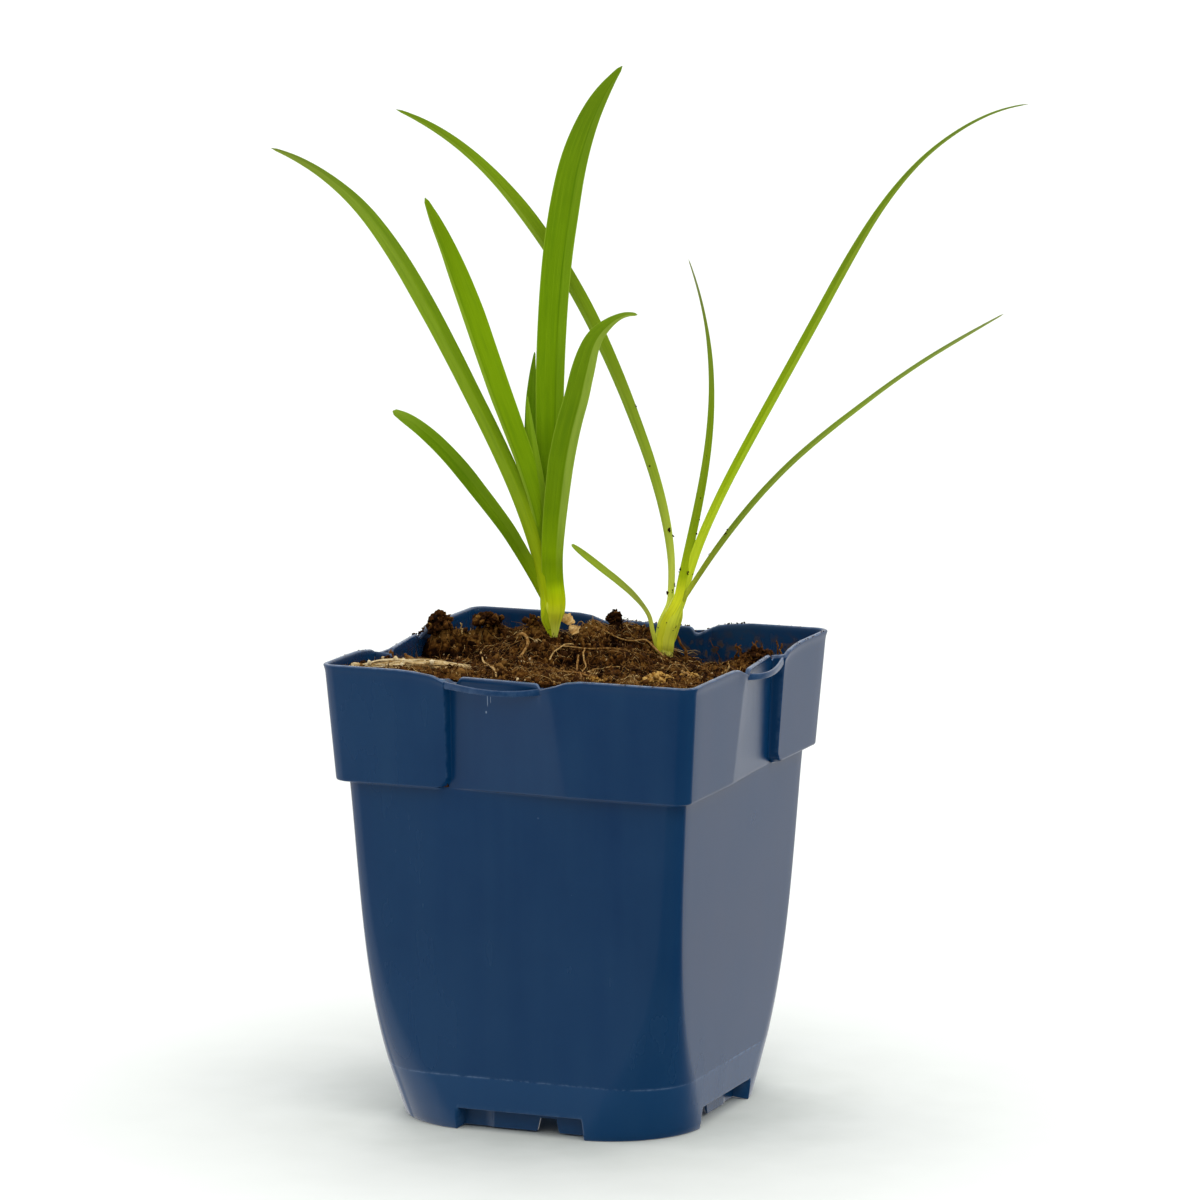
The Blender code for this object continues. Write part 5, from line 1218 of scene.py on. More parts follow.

# every leaf: where it leaves its shoot, its line, and its width at shares of its length (below zero is the
# sheath); nudge bows it sideways; keel is where it folds, fold how deep (a ridge if positive), and the three
# shading levels are painted light (above zero) and painted shade (below zero) left of the fold, at it and
# right of it
leaves = {
    "left_leaf_long": dict(
        shoot="left", toward=228, base=(-10.5, 6.4, 117.6), length=125.2, lean=(8.8, 24.2, 33.7, 71.0),
        heading=189.7, drift=23.1, tilt=32, sheath=12.5, wrap=1.0, keel=0.15, fold=-0.07,
        foldShadeLevels=(0.25, -0.1, -0.3),
        nudge=((0.05, 0.0), (0.2, -0.35), (0.3, -0.85), (0.4, -1.3), (0.5, -1.35), (0.6, -1.2),
               (0.7, -0.75), (0.8, -0.25), (0.88, -0.5), (1.0, -0.95)),
        widths=((-0.1, 0.8), (-0.075, 1.5), (-0.05, 2.5), (-0.02, 3.4), (0.0, 3.7), (0.2, 4.0),
                (0.4, 4.0), (0.6, 4.4), (0.7, 4.1), (0.8, 3.4), (0.88, 2.3), (0.94, 1.65), (0.98, 0.95),
                (1.0, 0.3)),
        colours=((0.0, (180, 190, 30)), (0.12, (160, 176, 10)), (0.18, (140, 160, 12)),
                 (0.3, (120, 147, 16)), (0.6, (114, 142, 22)), (0.85, (110, 134, 34)),
                 (1.0, (110, 122, 46)))),
    "left_leaf_second": dict(
        shoot="left", toward=250, base=(-10.9, 7.5, 117.6), length=96.6, lean=(-2.5, 16.9, 22.0, 21.5),
        heading=214.0, drift=-9.1, tilt=18, sheath=12.5, wrap=1.0, keel=-0.66, fold=0.07,
        foldShadeLevels=(0.55, -0.5, 0.0),
        nudge=((0.15, 0.0), (0.3, -0.6), (0.4, -0.95), (0.5, -1.0), (0.6, -0.6), (0.7, 0.0), (0.8, 0.3),
               (0.88, 0.35), (1.0, -0.3)),
        widths=((-0.13, 0.8), (-0.095, 1.5), (-0.065, 2.5), (-0.03, 3.2), (0.0, 3.5), (0.15, 3.8),
                (0.3, 4.4), (0.5, 5.2), (0.7, 5.3), (0.8, 4.7), (0.88, 3.6), (0.94, 2.75), (0.98, 1.65),
                (1.0, 0.5)),
        colours=((0.0, (170, 184, 20)), (0.15, (108, 136, 6)), (0.35, (112, 146, 5)),
                 (0.7, (115, 148, 6)), (0.9, (104, 134, 6)), (1.0, (104, 130, 14)))),
    "left_leaf_tall": dict(
        shoot="left", toward=110, base=(-10.8, 9.6, 117.6), length=126.0, lean=(-2.5, 0.7, 11.2, 50.0),
        heading=63.8, drift=-0.3, tilt=8, sheath=12.5, wrap=-1.0, keel=0.38, fold=-0.09,
        foldShadeLevels=(0.0, -0.75, 0.12),
        nudge=((0.4, 0.0), (0.5, 0.15), (0.7, 0.35), (0.8, 0.0), (0.9, 0.1), (1.0, 0.7)),
        widths=((-0.1, 0.8), (-0.075, 1.7), (-0.05, 2.9), (-0.02, 4.2), (0.0, 4.7), (0.1, 5.5),
                (0.2, 6.0), (0.4, 6.6), (0.7, 7.0), (0.8, 6.3), (0.88, 4.9), (0.94, 3.4), (0.98, 1.5),
                (1.0, 0.4)),
        colours=((0.0, (130, 150, 16)), (0.2, (92, 122, 5)), (0.4, (106, 140, 4)), (0.6, (100, 135, 5)),
                 (0.85, (90, 120, 8)), (1.0, (90, 116, 10)))),
    "left_leaf_hooked": dict(
        shoot="left", toward=-68, base=(-8.7, 6.0, 117.6), length=78.5, lean=(-10.0, 8.8, 20.2, 100.4),
        heading=-19.2, drift=1.5, tilt=12, sheath=12.5, wrap=1.0, keel=0.3, fold=0.13,
        foldShadeLevels=(-0.25, -0.4, 1.2),
        nudge=((0.4, 0.05), (0.5, 0.6), (0.6, 1.5), (0.7, 1.3), (0.8, 0.6), (0.88, 1.0), (1.0, 0.6)),
        widths=((-0.16, 0.8), (-0.12, 1.5), (-0.097, 2.8), (-0.075, 4.1), (-0.05, 5.0), (0.0, 5.0),
                (0.1, 4.9), (0.2, 5.35), (0.4, 6.0), (0.5, 5.9), (0.7, 5.4), (0.8, 3.9), (0.88, 2.3),
                (0.94, 1.2), (0.98, 1.0), (1.0, 0.5)),
        # darker from 0.155 to 0.2 of its length and lighter again at 0.235: a painted shadow band
        colours=((0.0, (190, 197, 88)), (0.065, (186, 193, 42)), (0.1, (174, 187, 12)),
                 (0.13, (160, 184, 6)), (0.155, (126, 156, 4)), (0.2, (120, 152, 4)),
                 (0.235, (133, 167, 5)), (0.34, (110, 143, 5)), (0.6, (98, 129, 9)),
                 (0.9, (106, 134, 16)), (1.0, (120, 142, 42)))),
    "left_leaf_low": dict(
        shoot="left", toward=200, base=(-11.7, 7.6, 117.6), length=56.8, lean=(26.7, 33.7, 41.3, 63.1),
        heading=213.7, drift=2.2, tilt=25, sheath=12.0, wrap=1.0, keel=-0.1, fold=-0.1,
        foldShadeLevels=(-0.2, -0.3, 0.1), blotches=0.9,
        nudge=((-0.1, -0.3), (0.1, -0.15), (0.3, 0.1), (0.5, -0.3), (0.9, -0.25), (1.0, -0.32)),
        widths=((-0.21, 0.7), (-0.16, 1.4), (-0.1, 2.2), (0.0, 2.85), (0.15, 3.1), (0.3, 3.5), (0.6, 4.0),
                (0.8, 3.6), (0.88, 3.2), (0.94, 2.75), (0.98, 1.9), (1.0, 0.9)),
        colours=((0.0, (180, 190, 30)), (0.1, (150, 168, 8)), (0.17, (122, 148, 6)), (0.3, (94, 122, 5)),
                 (0.6, (86, 117, 6)), (0.85, (94, 126, 8)), (1.0, (120, 146, 40)))),
    "left_leaf_inner": dict(
        shoot="left", toward=140, base=(-12.0, 10.1, 117.6), length=55.7, lean=(7.1, 9.0, 2.4, -9.7),
        heading=159.9, drift=-4.1, tilt=0, sheath=12.0, wrap=-1.0, keel=0.0, fold=-0.08,
        foldShadeLevels=(-0.1, -0.2, 0.1),
        widths=((-0.21, 0.7), (-0.16, 1.4), (-0.1, 2.5), (0.0, 3.4), (0.3, 4.0), (0.6, 3.8), (0.8, 2.7),
                (0.92, 1.4), (1.0, 0.3)),
        colours=((0.0, (140, 156, 20)), (0.3, (98, 126, 6)), (0.7, (96, 130, 6)), (1.0, (110, 140, 20)))),
    "left_leaf_spear": dict(
        shoot="left", toward=250, base=(-9.9, 7.6, 117.6), length=46.1, lean=(7.5, 7.3, 7.6, 3.8),
        heading=203.0, drift=0.0, tilt=0, sheath=12.0, wrap=-1.0, keel=0.1, fold=0.08,
        foldShadeLevels=(-0.2, -0.2, 0.2),
        widths=((-0.26, 0.7), (-0.2, 1.4), (-0.12, 2.3), (0.0, 3.2), (0.3, 3.8), (0.6, 3.2), (0.8, 2.1),
                (0.92, 1.2), (1.0, 0.3)),
        colours=((0.0, (150, 164, 20)), (0.3, (96, 124, 6)), (0.7, (108, 140, 8)),
                 (1.0, (116, 150, 24)))),
    "right_leaf_arched": dict(
        shoot="right", toward=180, base=(14.7, 21.0, 117.6), length=135.5, lean=(-2.0, 23.2, 38.3, 72.2),
        heading=185.5, drift=-4.0, tilt=25, sheath=16.0, wrap=1.0, keel=-0.35, fold=0.09,
        foldShadeLevels=(0.45, -0.15, 0.0),
        nudge=((-0.06, 0.1), (-0.033, -0.35), (-0.012, -0.4), (0.03, -0.1), (0.1, -0.32), (0.2, -0.78),
               (0.3, -1.13), (0.4, -0.95), (0.5, -0.6), (0.7, -0.32), (0.8, -0.28), (0.88, -0.42),
               (1.0, -0.85)),
        widths=((-0.07, 1.6), (0.0, 1.5), (0.05, 1.65), (0.1, 2.0), (0.15, 2.2), (0.3, 2.6), (0.4, 2.95),
                (0.5, 3.35), (0.7, 3.5), (0.8, 2.65), (0.88, 2.1), (0.94, 1.55), (0.98, 0.9), (1.0, 0.3)),
        colours=((0.0, (206, 212, 80)), (0.12, (200, 210, 84)), (0.2, (172, 186, 66)),
                 (0.3, (138, 157, 44)), (0.5, (106, 129, 22)), (0.8, (108, 134, 14)),
                 (1.0, (100, 124, 20)))),
    "right_leaf_upright": dict(
        shoot="right", toward=-110, base=(17.0, 19.9, 117.6), length=78.8, lean=(15.0, 12.4, -4.4, -22.4),
        heading=63.8, drift=-12.4, tilt=0, sheath=16.0, wrap=-1.0, keel=0.0, fold=0.1,
        foldShadeLevels=(0.1, -0.3, 0.0),
        widths=((-0.12, 2.0), (0.0, 2.1), (0.15, 2.1), (0.3, 1.94), (0.4, 1.76), (0.5, 1.56), (0.6, 1.32),
                (0.7, 1.12), (0.8, 0.72), (0.94, 0.46), (1.0, 0.2)),
        colours=((0.0, (216, 222, 50)), (0.1, (208, 216, 40)), (0.16, (150, 170, 16)),
                 (0.3, (122, 144, 16)), (0.6, (116, 138, 24)), (0.85, (112, 126, 50)),
                 (1.0, (130, 136, 90)))),
    "right_leaf_long": dict(
        shoot="right", toward=-60, base=(17.6, 20.7, 117.6), length=142.4, lean=(15.5, 29.0, 33.7, 85.0),
        heading=37.7, drift=-15.2, tilt=30, sheath=16.0, wrap=1.0, keel=0.1, fold=-0.12,
        foldShadeLevels=(-0.4, -0.3, 0.3), twist=(0.0, 0.0, -30.0, -62.0),
        nudge=((0.2, 0.0), (0.4, 0.23), (0.5, 0.32), (0.6, 0.15), (0.7, -0.12), (0.8, -0.05), (0.88, 0.4),
               (1.0, 0.5)),
        widths=((-0.07, 3.3), (-0.03, 2.9), (0.0, 2.4), (0.1, 2.1), (0.3, 2.2), (0.5, 2.2), (0.6, 2.1),
                (0.7, 1.6), (0.8, 1.08), (0.88, 0.78), (0.94, 0.6), (1.0, 0.28)),
        colours=((0.0, (214, 220, 66)), (0.12, (194, 208, 46)), (0.3, (162, 188, 20)),
                 (0.5, (134, 158, 22)), (0.75, (112, 132, 34)), (1.0, (120, 136, 62)))),
    "right_leaf_low": dict(
        shoot="right", toward=0, base=(18.3, 20.5, 117.6), length=99.0, lean=(32.0, 43.4, 54.4, 60.1),
        heading=13.9, drift=2.9, tilt=35, sheath=16.0, wrap=1.0, keel=0.0, fold=-0.16,
        foldShadeLevels=(-0.2, -0.3, 0.3),
        nudge=((-0.12, -0.4), (-0.09, -0.3), (-0.06, 0.05), (-0.025, 0.4), (0.05, 0.42), (0.1, 0.3),
               (0.3, 0.03), (0.4, 0.03), (0.5, 0.27), (0.6, 0.4), (0.7, 0.12), (0.8, -0.1), (1.0, -0.1)),
        widths=((-0.1, 1.5), (0.0, 1.2), (0.05, 1.22), (0.15, 1.45), (0.3, 1.42), (0.5, 1.35),
                (0.6, 1.22), (0.7, 1.05), (0.8, 0.95), (0.88, 0.85), (0.94, 0.62), (1.0, 0.25)),
        colours=((0.0, (206, 212, 60)), (0.1, (180, 190, 50)), (0.17, (138, 150, 44)),
                 (0.3, (118, 134, 44)), (0.6, (124, 142, 50)), (0.85, (122, 138, 62)),
                 (1.0, (130, 136, 84)))),
    "right_leaf_short": dict(
        shoot="right", toward=215, base=(11.0, 17.6, 109.2), length=29.0, lean=(8.0, 41.5, 56.5, 49.0),
        heading=219.5, drift=-0.5, tilt=20, sheath=6.5, wrap=1.0, keel=0.0, fold=-0.12,
        foldShadeLevels=(-0.2, 0.2, 0.2),
        nudge=((0.1, 0.0), (0.2, -0.4), (0.3, -0.72), (0.45, -0.9), (0.6, -0.76), (0.7, -0.5),
               (0.8, -0.18), (0.9, 0.05), (1.0, 0.1)),
        widths=((-0.2, 1.0), (0.1, 1.0), (0.2, 1.05), (0.3, 1.35), (0.5, 1.6), (0.7, 1.7), (0.85, 1.6),
                (0.94, 1.25), (0.98, 0.9), (1.0, 0.5)),
        colours=((0.0, (190, 196, 60)), (0.15, (196, 202, 80)), (0.3, (184, 196, 84)),
                 (0.5, (172, 188, 72)), (0.8, (158, 178, 50)), (1.0, (150, 172, 50)))),
}


# peat stuck to leaves: (share of length, place across, size, run along the leaf)
crumbSpots = {
    "right_leaf_arched": ((0.318, 0.95, 0.25, 0.9), (0.216, -0.35, 0.3, 0.1), (0.101, 0.4, 0.42, 0.6),
                          (0.091, 1.1, 0.24, 0.2), (0.010, 1.0, 0.26, 0.7), (0.002, 0.5, 0.28, 0.6),
                          (-0.004, -1.1, 0.3, 0.2), (-0.066, -0.6, 0.13, 0.1)),
    "right_leaf_upright": ((0.409, -0.1, 0.13, 0.1), (0.282, 0.15, 0.16, 0.2), (0.218, 0.95, 0.18, 0.1),
                           (0.182, 1.0, 0.24, 0.1), (0.064, -1.0, 0.2, 1.0), (-0.09, 0.3, 0.12, 0.1)),
    "right_leaf_long": ((0.036, -0.15, 0.40, 0.5), (0.032, 0.85, 0.14, 0.1), (-0.058, 0.75, 0.14, 0.5),
                        (-0.064, 0.45, 0.15, 0.6)),
    "right_leaf_low": ((0.180, -0.9, 0.2, 0.4), (0.170, -0.7, 0.25, 0.4), (0.109, -1.1, 0.15, 0.1),
                       (-0.040, 1.0, 0.15, 0.1)),
}


def shootAxis(shoot, z):
    # the axis point and radius of a shoot at given heights
    x, y, level, radius = np.array(shoots[shoot]["axis"]).T
    return np.stack([np.interp(z, level, x), np.interp(z, level, y)], -1), np.interp(z, level, radius)


def leafLine(leaf):
    # spine, directions and shares of length: lean and heading give a direction at every station and their
    # running sum is the spine; below the base the line eases onto the side of the shoot it grows from
    count = blade["stations"]
    t = np.arange(count + 1) / count
    lean = np.radians(fourStations(leaf["lean"], t))
    heading = np.radians(leaf["heading"] + leaf["drift"] * t)
    way = np.stack([np.sin(lean) * np.cos(heading), np.sin(lean) * np.sin(heading), np.cos(lean)], -1)
    step = leaf["length"] / count
    spine = np.array(leaf["base"]) + step * np.concatenate([np.zeros((1, 3)), np.cumsum(way[:-1], axis=0)])
    back = np.linspace(leaf["sheath"], 0.0, blade["sheathRows"], endpoint=False)[:, None]
    low = spine[0] - way[0] * back
    axis, radius = shootAxis(leaf["shoot"], low[:, 2])
    angle = math.radians(leaf["toward"])
    spin = angle - math.radians(blade["faceHeading"])
    oval = 1.0 / math.hypot(math.sin(spin), math.cos(spin) / shoots[leaf["shoot"]]["squash"])
    dive = 0.9 * smoothStep((back / leaf["sheath"] - 0.8) / 0.2)
    seat = axis + (radius[:, None] * oval + 0.12 - dive) * np.array([[math.cos(angle), math.sin(angle)]])
    low[:, :2] = mix(low[:, :2], seat, smoothStep(back / blade["ease"] * 1.15))
    spine = np.concatenate([low, spine])
    way = unit(np.gradient(spine, axis=0))
    t = np.concatenate([-back[:, 0] / leaf["length"], t])
    return spine, way, t


def leafFrame(leaf):
    # at each station: spine, across and outward directions, width and share of length
    spine, way, t = leafLine(leaf)
    turn = math.radians(blade["faceHeading"])
    tilt = np.radians(leaf["tilt"]) * smoothStep(t / blade["fullTilt"])
    face = np.stack([math.cos(turn) * np.cos(tilt), math.sin(turn) * np.cos(tilt), np.sin(tilt)], -1)
    across = unit(np.cross(way, face))
    outward = unit(np.cross(across, way))
    outward = outward * np.sign((outward * face).sum(-1, keepdims=True))
    twist = np.radians(fourStations(leaf.get("twist", (0.0, 0.0, 0.0, 0.0)), np.clip(t, 0.0, 1.0)))[:, None]
    across, outward = (across * np.cos(twist) + outward * np.sin(twist),
                       outward * np.cos(twist) - across * np.sin(twist))
    stops, widths = np.array(leaf["widths"]).T
    spots = (-0.03, -0.015, 0.0, 0.015, 0.03)
    width = np.mean([np.interp(t + d, stops, widths) for d in spots], axis=0)
    stops, nudges = np.array(leaf.get("nudge", ((0.0, 0.0), (1.0, 0.0)))).T
    spine = spine + np.mean([np.interp(t + d, stops, nudges) for d in spots], axis=0)[:, None] * across
    near = np.clip((t - 0.985) / 0.015, 0.0, 1.0)
    width = width * np.sqrt(np.maximum(1.0 - 0.96 * near * near, 0.0))
    return spine, across, outward, width, t


def leafSection(leaf, width, t, u):
    # how far each point across the blade stands out from the spine: a fold at the keel, an even bow round the
    # shoot in the sheath, and two low ribs; and half the blade's thickness there
    keel, grown = leaf["keel"], smoothStep((t + 0.02) / 0.22)[:, None]
    w = width[:, None]
    side = np.where(u > keel, (u - keel) / (1.0 - keel), (keel - u) / (1.0 + keel))[None, :]
    ridge = leaf["fold"] * w * (1.0 - np.sqrt(side * side + 0.03)) * grown
    _, radius = shootAxis(leaf["shoot"], np.full(1, 111.0))
    reach = np.minimum(0.5 * w * np.abs(u), 0.92 * (radius + 0.35))
    bow = leaf["wrap"] * ((radius + 0.35) - np.sqrt((radius + 0.35) ** 2 - reach * reach)) * (1.0 - grown)
    ribs = 0.025 * np.cos(9.5 * math.pi * u)[None, :] * np.minimum(w / 4.0, 1.0) * grown
    body = mix(blade["thickBase"], blade["thickFull"] * min(width.max() / 5.0, 1.0), grown)
    body = np.minimum(body, 0.32 * w)
    edge = np.minimum(blade["thickEdge"], 0.6 * body)
    thick = mix(edge, body, np.maximum(1.0 - np.abs(u[None, :]) ** 2.2, 0.0))
    return ridge - bow + ribs, 0.5 * thick


def brighter(colour, at):
    # painted light: colours are brightened to make up the light leaves lose to shade and grain, most of all
    # low down between the others
    gain = blade["gain"] + blade["baseGain"] * max(0.0, 1.0 - at / 0.22)
    return tuple(min(part * gain, 0.9) for part in paint(*colour))


def leafFinish(name, leaf):
    # strap-leaf skin: colour along the blade brightened as painted light, painted light and shade beside the
    # fold, fine lengthwise grain, pale rims that are partly a painted highlight
    material, tree, where, grainMap = blankMaterial(name + "_skin")
    stops = [(at, brighter(colour, at)) for at, colour in leaf["colours"]]
    tint = ramp(tree, layerValue(tree, "age"), stops)
    fine = useGroup(tree, strands, Map=grainMap, Across=26.0, Along=0.6, Low=0.3, High=0.7)
    broad = useGroup(tree, strands, Map=grainMap, Across=6.0, Along=0.9, Low=0.3, High=0.7)
    clouds = useGroup(tree, mottle, Position=where, Scale=90.0, Detail=3.0, Low=0.35, High=0.7)
    # painted light and shade beside the fold: the light side mixes toward a painted sheen, the shaded side
    # toward deep green
    foldShading = layerValue(tree, "foldShading")
    light = sums(tree, "MAXIMUM", foldShading, 0.0)
    dark = sums(tree, "MAXIMUM", times(tree, foldShading, -1.0), 0.0)
    tint = mixColour(tree, times(tree, light, 0.45), tint, paint(*blade["sheen"]))
    tint = mixColour(tree, times(tree, dark, 0.65), tint, (0.045, 0.12, 0.001))
    streak = times(tree, minus(tree, fine, 0.5), 0.30, clamp=True)
    tint = mixColour(tree, streak, tint, (0.34, 0.50, 0.015))
    band = times(tree, minus(tree, 0.55, broad), 0.40, clamp=True)
    tint = mixColour(tree, band, tint, (0.06, 0.16, 0.002))
    tint = mixColour(tree, times(tree, clouds, 0.12), tint, (0.24, 0.42, 0.005))
    # pale rims: a paler margin along both edges, partly a painted highlight on the rounded edge
    rim = times(tree, layerValue(tree, "rim"), 0.5)
    tint = mixColour(tree, rim, tint, paint(*blade["pale"]))
    if "blotches" in leaf:
        marks = useGroup(tree, specks, Position=where, Scale=230.0, Share=0.16, Size=0.22)
        zone = useGroup(tree, mottle, Position=where, Scale=120.0, Low=0.5, High=0.6)
        marks = times(tree, times(tree, marks, zone), leaf["blotches"])
        tint = mixColour(tree, marks, tint, paint(190, 196, 60))
    relief = plus(tree, times(tree, fine, 0.5), times(tree, broad, 0.5))
    dress(tree, tint, spread(tree, fine, 0.0, 1.0, 0.40, 0.52), relief, 0.35, 0.0001, 0.03)
    return material


def buildLeaf(name, leaf):
    # the front skin runs from edge to edge and the back skin returns: one closed ring at each station
    spine, across, outward, width, t = leafFrame(leaf)
    u = np.sin(np.linspace(-0.5, 0.5, blade["across"] + 8) * math.pi)
    lift, half = leafSection(leaf, width, t, u)
    side = 0.5 * width[:, None] * u[None, :]

    def skin(height):
        return spine[:, None] + side[..., None] * across[:, None] + height[..., None] * outward[:, None]
    front, back = skin(lift + half), skin(lift - half)
    ring = np.concatenate([front, back[:, ::-1]], axis=1)
    rows, columns = ring.shape[:2]
    points, quads, tris = closedTube(ring)
    both = np.concatenate([u, u[::-1]])
    # painted light and shade across the blade: levels left of the fold, at it and right of it, growing in
    # from the base
    keel, (left, middle, right) = leaf["keel"], leaf["foldShadeLevels"]
    shade = np.interp(both, (-1.0, keel - 0.09, keel - 0.02, keel + 0.02, keel + 0.09, 1.0),
                      (left, left, middle, middle, right, right))
    foldShading = smoothStep((t - 0.03) / 0.2)[:, None] * shade[None, :]
    rim = np.broadcast_to(smoothStep((np.abs(both) - blade["rimFrom"]) / 0.08), (rows, columns))
    age = np.where(t < 0.0, 0.12 * (1.0 - t / t[0]), 0.12 + 0.88 * t)[:, None] + 0.0 * both
    grain = np.stack([np.broadcast_to(0.5 + 0.5 * both, (rows, columns)),
                      np.broadcast_to((t * leaf["length"] / 10.0)[:, None], (rows, columns))], -1)

    def ends(values):
        return np.concatenate([values.ravel(), [values[0].mean(), values[-1].mean()]])
    uv = np.stack([ends(grain[..., 0]), ends(grain[..., 1])], -1)
    makePiece("blade_" + name, points, quads, tris, leafFinish(name, leaf), [name], uv=uv,
              layers={"foldShading": ends(foldShading), "rim": ends(rim), "age": ends(age)})


def shootFinish(name, shoot):
    # pale fleshy base of the shoot: colour up its height, brightened as painted light, lengthwise streaks,
    # soil smears low down
    material, tree, where, grainMap = blankMaterial(name + "_flesh")
    age = layerValue(tree, "age")
    tint = ramp(tree, age, [(at, brighter(colour, 0.0)) for at, colour in shoot["colours"]])
    streak = useGroup(tree, strands, Map=grainMap, Across=14.0, Along=0.5, Low=0.35, High=0.7)
    fine = useGroup(tree, strands, Map=grainMap, Across=45.0, Along=0.8, Low=0.3, High=0.7)
    shade = times(tree, minus(tree, 0.6, streak), 0.7, clamp=True)
    tint = mixColour(tree, shade, tint, paint(118, 142, 20))
    tint = mixColour(tree, times(tree, fine, 0.2), tint, paint(226, 224, 140))
    tint = mixColour(tree, times(tree, layerValue(tree, "seam"), 0.5), tint, paint(92, 112, 14))
    smear = useGroup(tree, mottle, Position=where, Scale=900.0, Detail=4.0, Low=0.5, High=0.6)
    smear = times(tree, smear, spread(tree, age, 0.25, 0.6, 0.9, 0.0))
    tint = mixColour(tree, smear, tint, paint(84, 60, 28))
    dress(tree, tint, spread(tree, streak, 0.0, 1.0, 0.38, 0.5), streak, 0.4, 0.00012, 0.3)
    return material


def buildShoot(name, shoot, node):
    # a tapered tube of sheaths: radius along the axis, with a small step at each sheath's free edge
    path = roundedPath(shoot["axis"], 90)
    turn = np.arange(64) * 2.0 * math.pi / 64
    seamDepth, seamMark = 0.0, 0.0
    for k, seam in enumerate(shoot["seams"]):
        past = (turn[None, :] - seam - 0.25 * np.sin(0.12 * path[:, 2:3] + k)) % (2.0 * math.pi)
        seamDepth = seamDepth + 0.10 * np.exp(-past / 0.9)
        seamMark = np.maximum(seamMark, np.exp(-(np.minimum(past, 2.0 * math.pi - past) / 0.10) ** 2))
    radius = path[:, 3:4] * (1.0 + seamDepth - 0.05) * (1.0 + 0.02 * np.cos(5 * turn)[None, :])
    facing = math.radians(blade["faceHeading"])
    wide = np.stack([-math.sin(facing) * np.ones_like(turn), math.cos(facing) * np.ones_like(turn)], -1)
    deep = np.stack([math.cos(facing) * np.ones_like(turn), math.sin(facing) * np.ones_like(turn)], -1)
    section = np.cos(turn)[:, None] * wide + shoot["squash"] * np.sin(turn)[:, None] * deep
    flat = section[None] * radius[..., None]
    ring = np.concatenate([path[:, None, :2] + flat, path[:, None, 2:3] + 0.0 * radius[..., None]], axis=-1)
    rows, columns = ring.shape[:2]
    points, quads, tris = closedTube(ring, path[[0, -1], :3])
    low, high = path[0, 2], path[-1, 2]
    age = (path[:, 2:3] - low) / (high - low) + 0.0 * turn
    mapU = np.broadcast_to(np.abs(turn / math.pi - 1.0), (rows, columns))
    mapV = np.broadcast_to(path[:, 2:3] / 10.0, (rows, columns))
    uv = np.stack([np.append(mapU.ravel(), [0, 0]), np.append(mapV.ravel(), [low / 10, high / 10])], -1)
    makePiece("shoot_" + name, points, quads, tris, shootFinish(name, shoot), [node], uv=uv,
              layers={"age": np.append(age.ravel(), [0.0, 1.0]),
                      "seam": np.append(seamMark.ravel(), [0.0, 0.0])})


def buildLeafCrumbs():
    # peat stuck to the thin leaves: each spot is a few tiny lumps strung along the leaf over a short run
    dice = np.random.default_rng(71)
    centres, sizes = [], []
    for name, spots in crumbSpots.items():
        spine, across, outward, width, t = leafFrame(leaves[name])
        for at, u, size, run in spots:
            k = int(np.argmin(np.abs(t - at)))
            lift, half = leafSection(leaves[name], width, t, np.array([u]))
            along = unit(spine[k + 1] - spine[k])
            middle = spine[k] + 0.5 * width[k] * u * across[k] + (lift + half)[k] * outward[k]
            offsets = np.linspace(-0.5, 0.5, 3)[:, None] * run * along + dice.normal(0, 0.25 * size, (3, 3))
            centres.append(middle + offsets)
            sizes.append(size * dice.uniform(0.6, 1.0, 3))
    points, tris, each = lumpShapes(np.concatenate(centres), np.concatenate(sizes), dice)
    skin = scatterFinish("leafCrumb", [(0.0, (0.010, 0.004, 0.002)), (0.6, (0.035, 0.014, 0.006)),
                                       (1.0, (0.10, 0.05, 0.02))])
    tint = np.repeat(dice.uniform(0.1, 0.7, len(points) // each), each)
    makePiece("leaf_crumbs", points, [], tris, skin, layers={"tint": tint})


for leafName, leafData in leaves.items():
    buildLeaf(leafName, leafData)
buildLeafCrumbs()
for shootName, shootData in shoots.items():
    buildShoot(shootName, shootData, shootName + "_shoot_base")
print("leaves and shoots built:", len(leaves), "leaves")
# stage, lights and camera
stage = dict(
    paper=(0.84, 0.865, 0.835), shadowFringe=(0.76, 0.785, 0.75), shaded=(0.63, 0.66, 0.615),
    eye=(551.7, -1363.3, 353.6), lens=195.0, yaw=0.3813, pitch=0.1591,
    shade=(0.85, -0.53, 0.0), sky=1.0,
    glow=((-0.35, 0.97), (-0.17, 0.74), (0.0, 0.46), (0.2, 0.12), (0.5, 0.01)),
    sunSize=55.0, suns=((-52.0, 52.0, 0.75), (118.0, 48.0, 0.5), (30.0, 30.0, 0.4)),
)


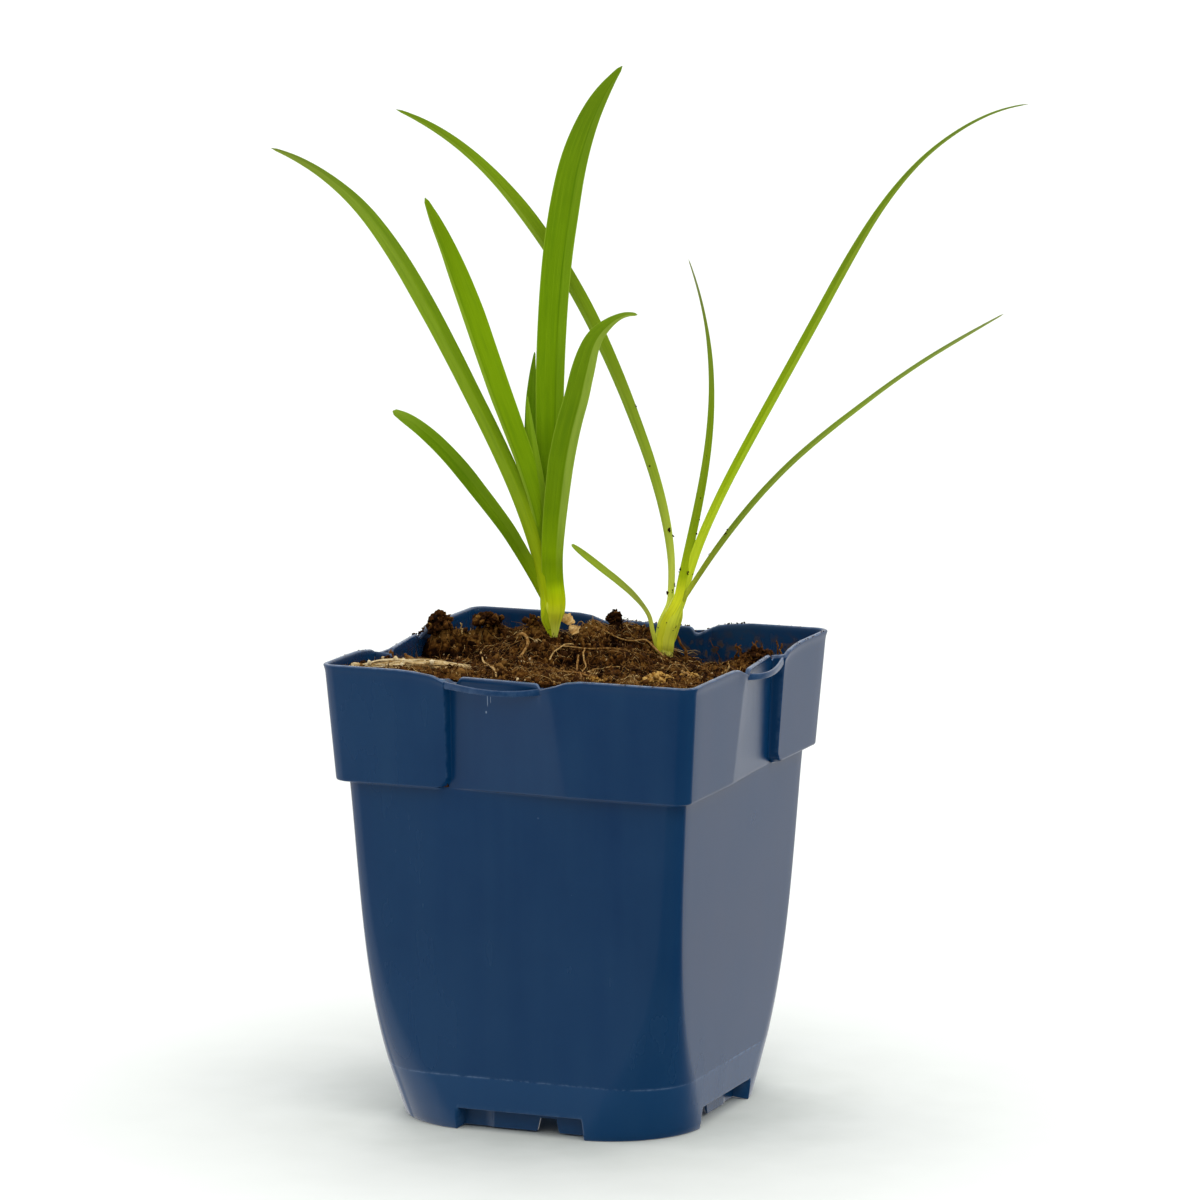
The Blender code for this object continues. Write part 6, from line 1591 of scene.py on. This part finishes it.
def buildStage():
    # one large sheet of pale paper, with a painted contact shadow that darkens it close round the foot
    material, tree, where, _ = blankMaterial("paleFloor")
    grain = useGroup(tree, mottle, Position=where, Scale=60.0, Detail=5.0)
    away = place(tree, "ShaderNodeVectorMath", {0: where, 1: tuple(potAxis)}, operation="DISTANCE")
    # painted contact shadow: the paper's colour darkens toward the pot's axis
    paintedContactShadow = ramp(tree, times(tree, away.outputs["Value"], 5.0),
                 [(0.2, stage["shaded"]), (0.36, stage["shadowFringe"]), (0.65, stage["paper"])])
    paper = mixColour(tree, times(tree, grain, 0.3), paintedContactShadow, stage["paper"])
    wire(tree, tree.nodes["Principled BSDF"], {"Base Color": paper, "Roughness": 0.9})
    bpy.ops.mesh.primitive_plane_add(size=30.0, location=(0, 0, 0))
    floor = bpy.context.active_object
    floor.name = "floor"
    floor.data.materials.append(material)
    world = bpy.data.worlds.new("studio")
    scene.world = world
    world.use_nodes = True
    tree = world.node_tree
    # the room: bright behind and above, darker low down on the side the camera stands, white where it is seen
    aim = place(tree, "ShaderNodeTexCoord").outputs["Generated"]
    facing = place(tree, "ShaderNodeVectorMath", {0: aim, 1: stage["shade"]}, operation="DOT_PRODUCT")
    low = ramp(tree, spread(tree, facing.outputs["Value"], -1.0, 1.0),
               [(0.5 + 0.5 * spot, (level,) * 3) for spot, level in stage["glow"]])
    height = place(tree, "ShaderNodeSeparateXYZ", {0: aim}).outputs["Z"]
    overhead = spread(tree, height, 0.12, 0.45)
    room = mixColour(tree, overhead, low, (stage["sky"],) * 3)
    seen = place(tree, "ShaderNodeLightPath").outputs["Is Camera Ray"]
    wire(tree, tree.nodes["Background"], {"Color": mixColour(tree, seen, room, (1.0, 1.0, 1.0))})
    floor.visible_glossy = False
    scene.view_settings.view_transform = "Standard"


def addSun(name, turn, height, power):
    # a broad, soft sun: turn is its bearing from +X, height its elevation, both in degrees
    lamp = bpy.data.lights.new(name, "SUN")
    lamp.energy = power
    lamp.angle = math.radians(stage["sunSize"])
    holder = bpy.data.objects.new(name, lamp)
    scene.collection.objects.link(holder)
    holder.rotation_euler = (math.radians(90.0 - height), 0.0, math.radians(turn + 90.0))


def buildCamera():
    view = bpy.data.cameras.new("view")
    view.lens = stage["lens"]
    view.sensor_width = 36.0
    view.clip_start = 0.05
    holder = bpy.data.objects.new("view", view)
    scene.collection.objects.link(holder)
    holder.location = np.array(stage["eye"]) * mm + potAxis
    holder.rotation_euler = (math.pi / 2 - stage["pitch"], 0.0, stage["yaw"])
    scene.camera = holder


buildStage()
for k, sun in enumerate(stage["suns"]):
    addSun("softSun" + str(k + 1), *sun)
buildCamera()

print("scene ready")
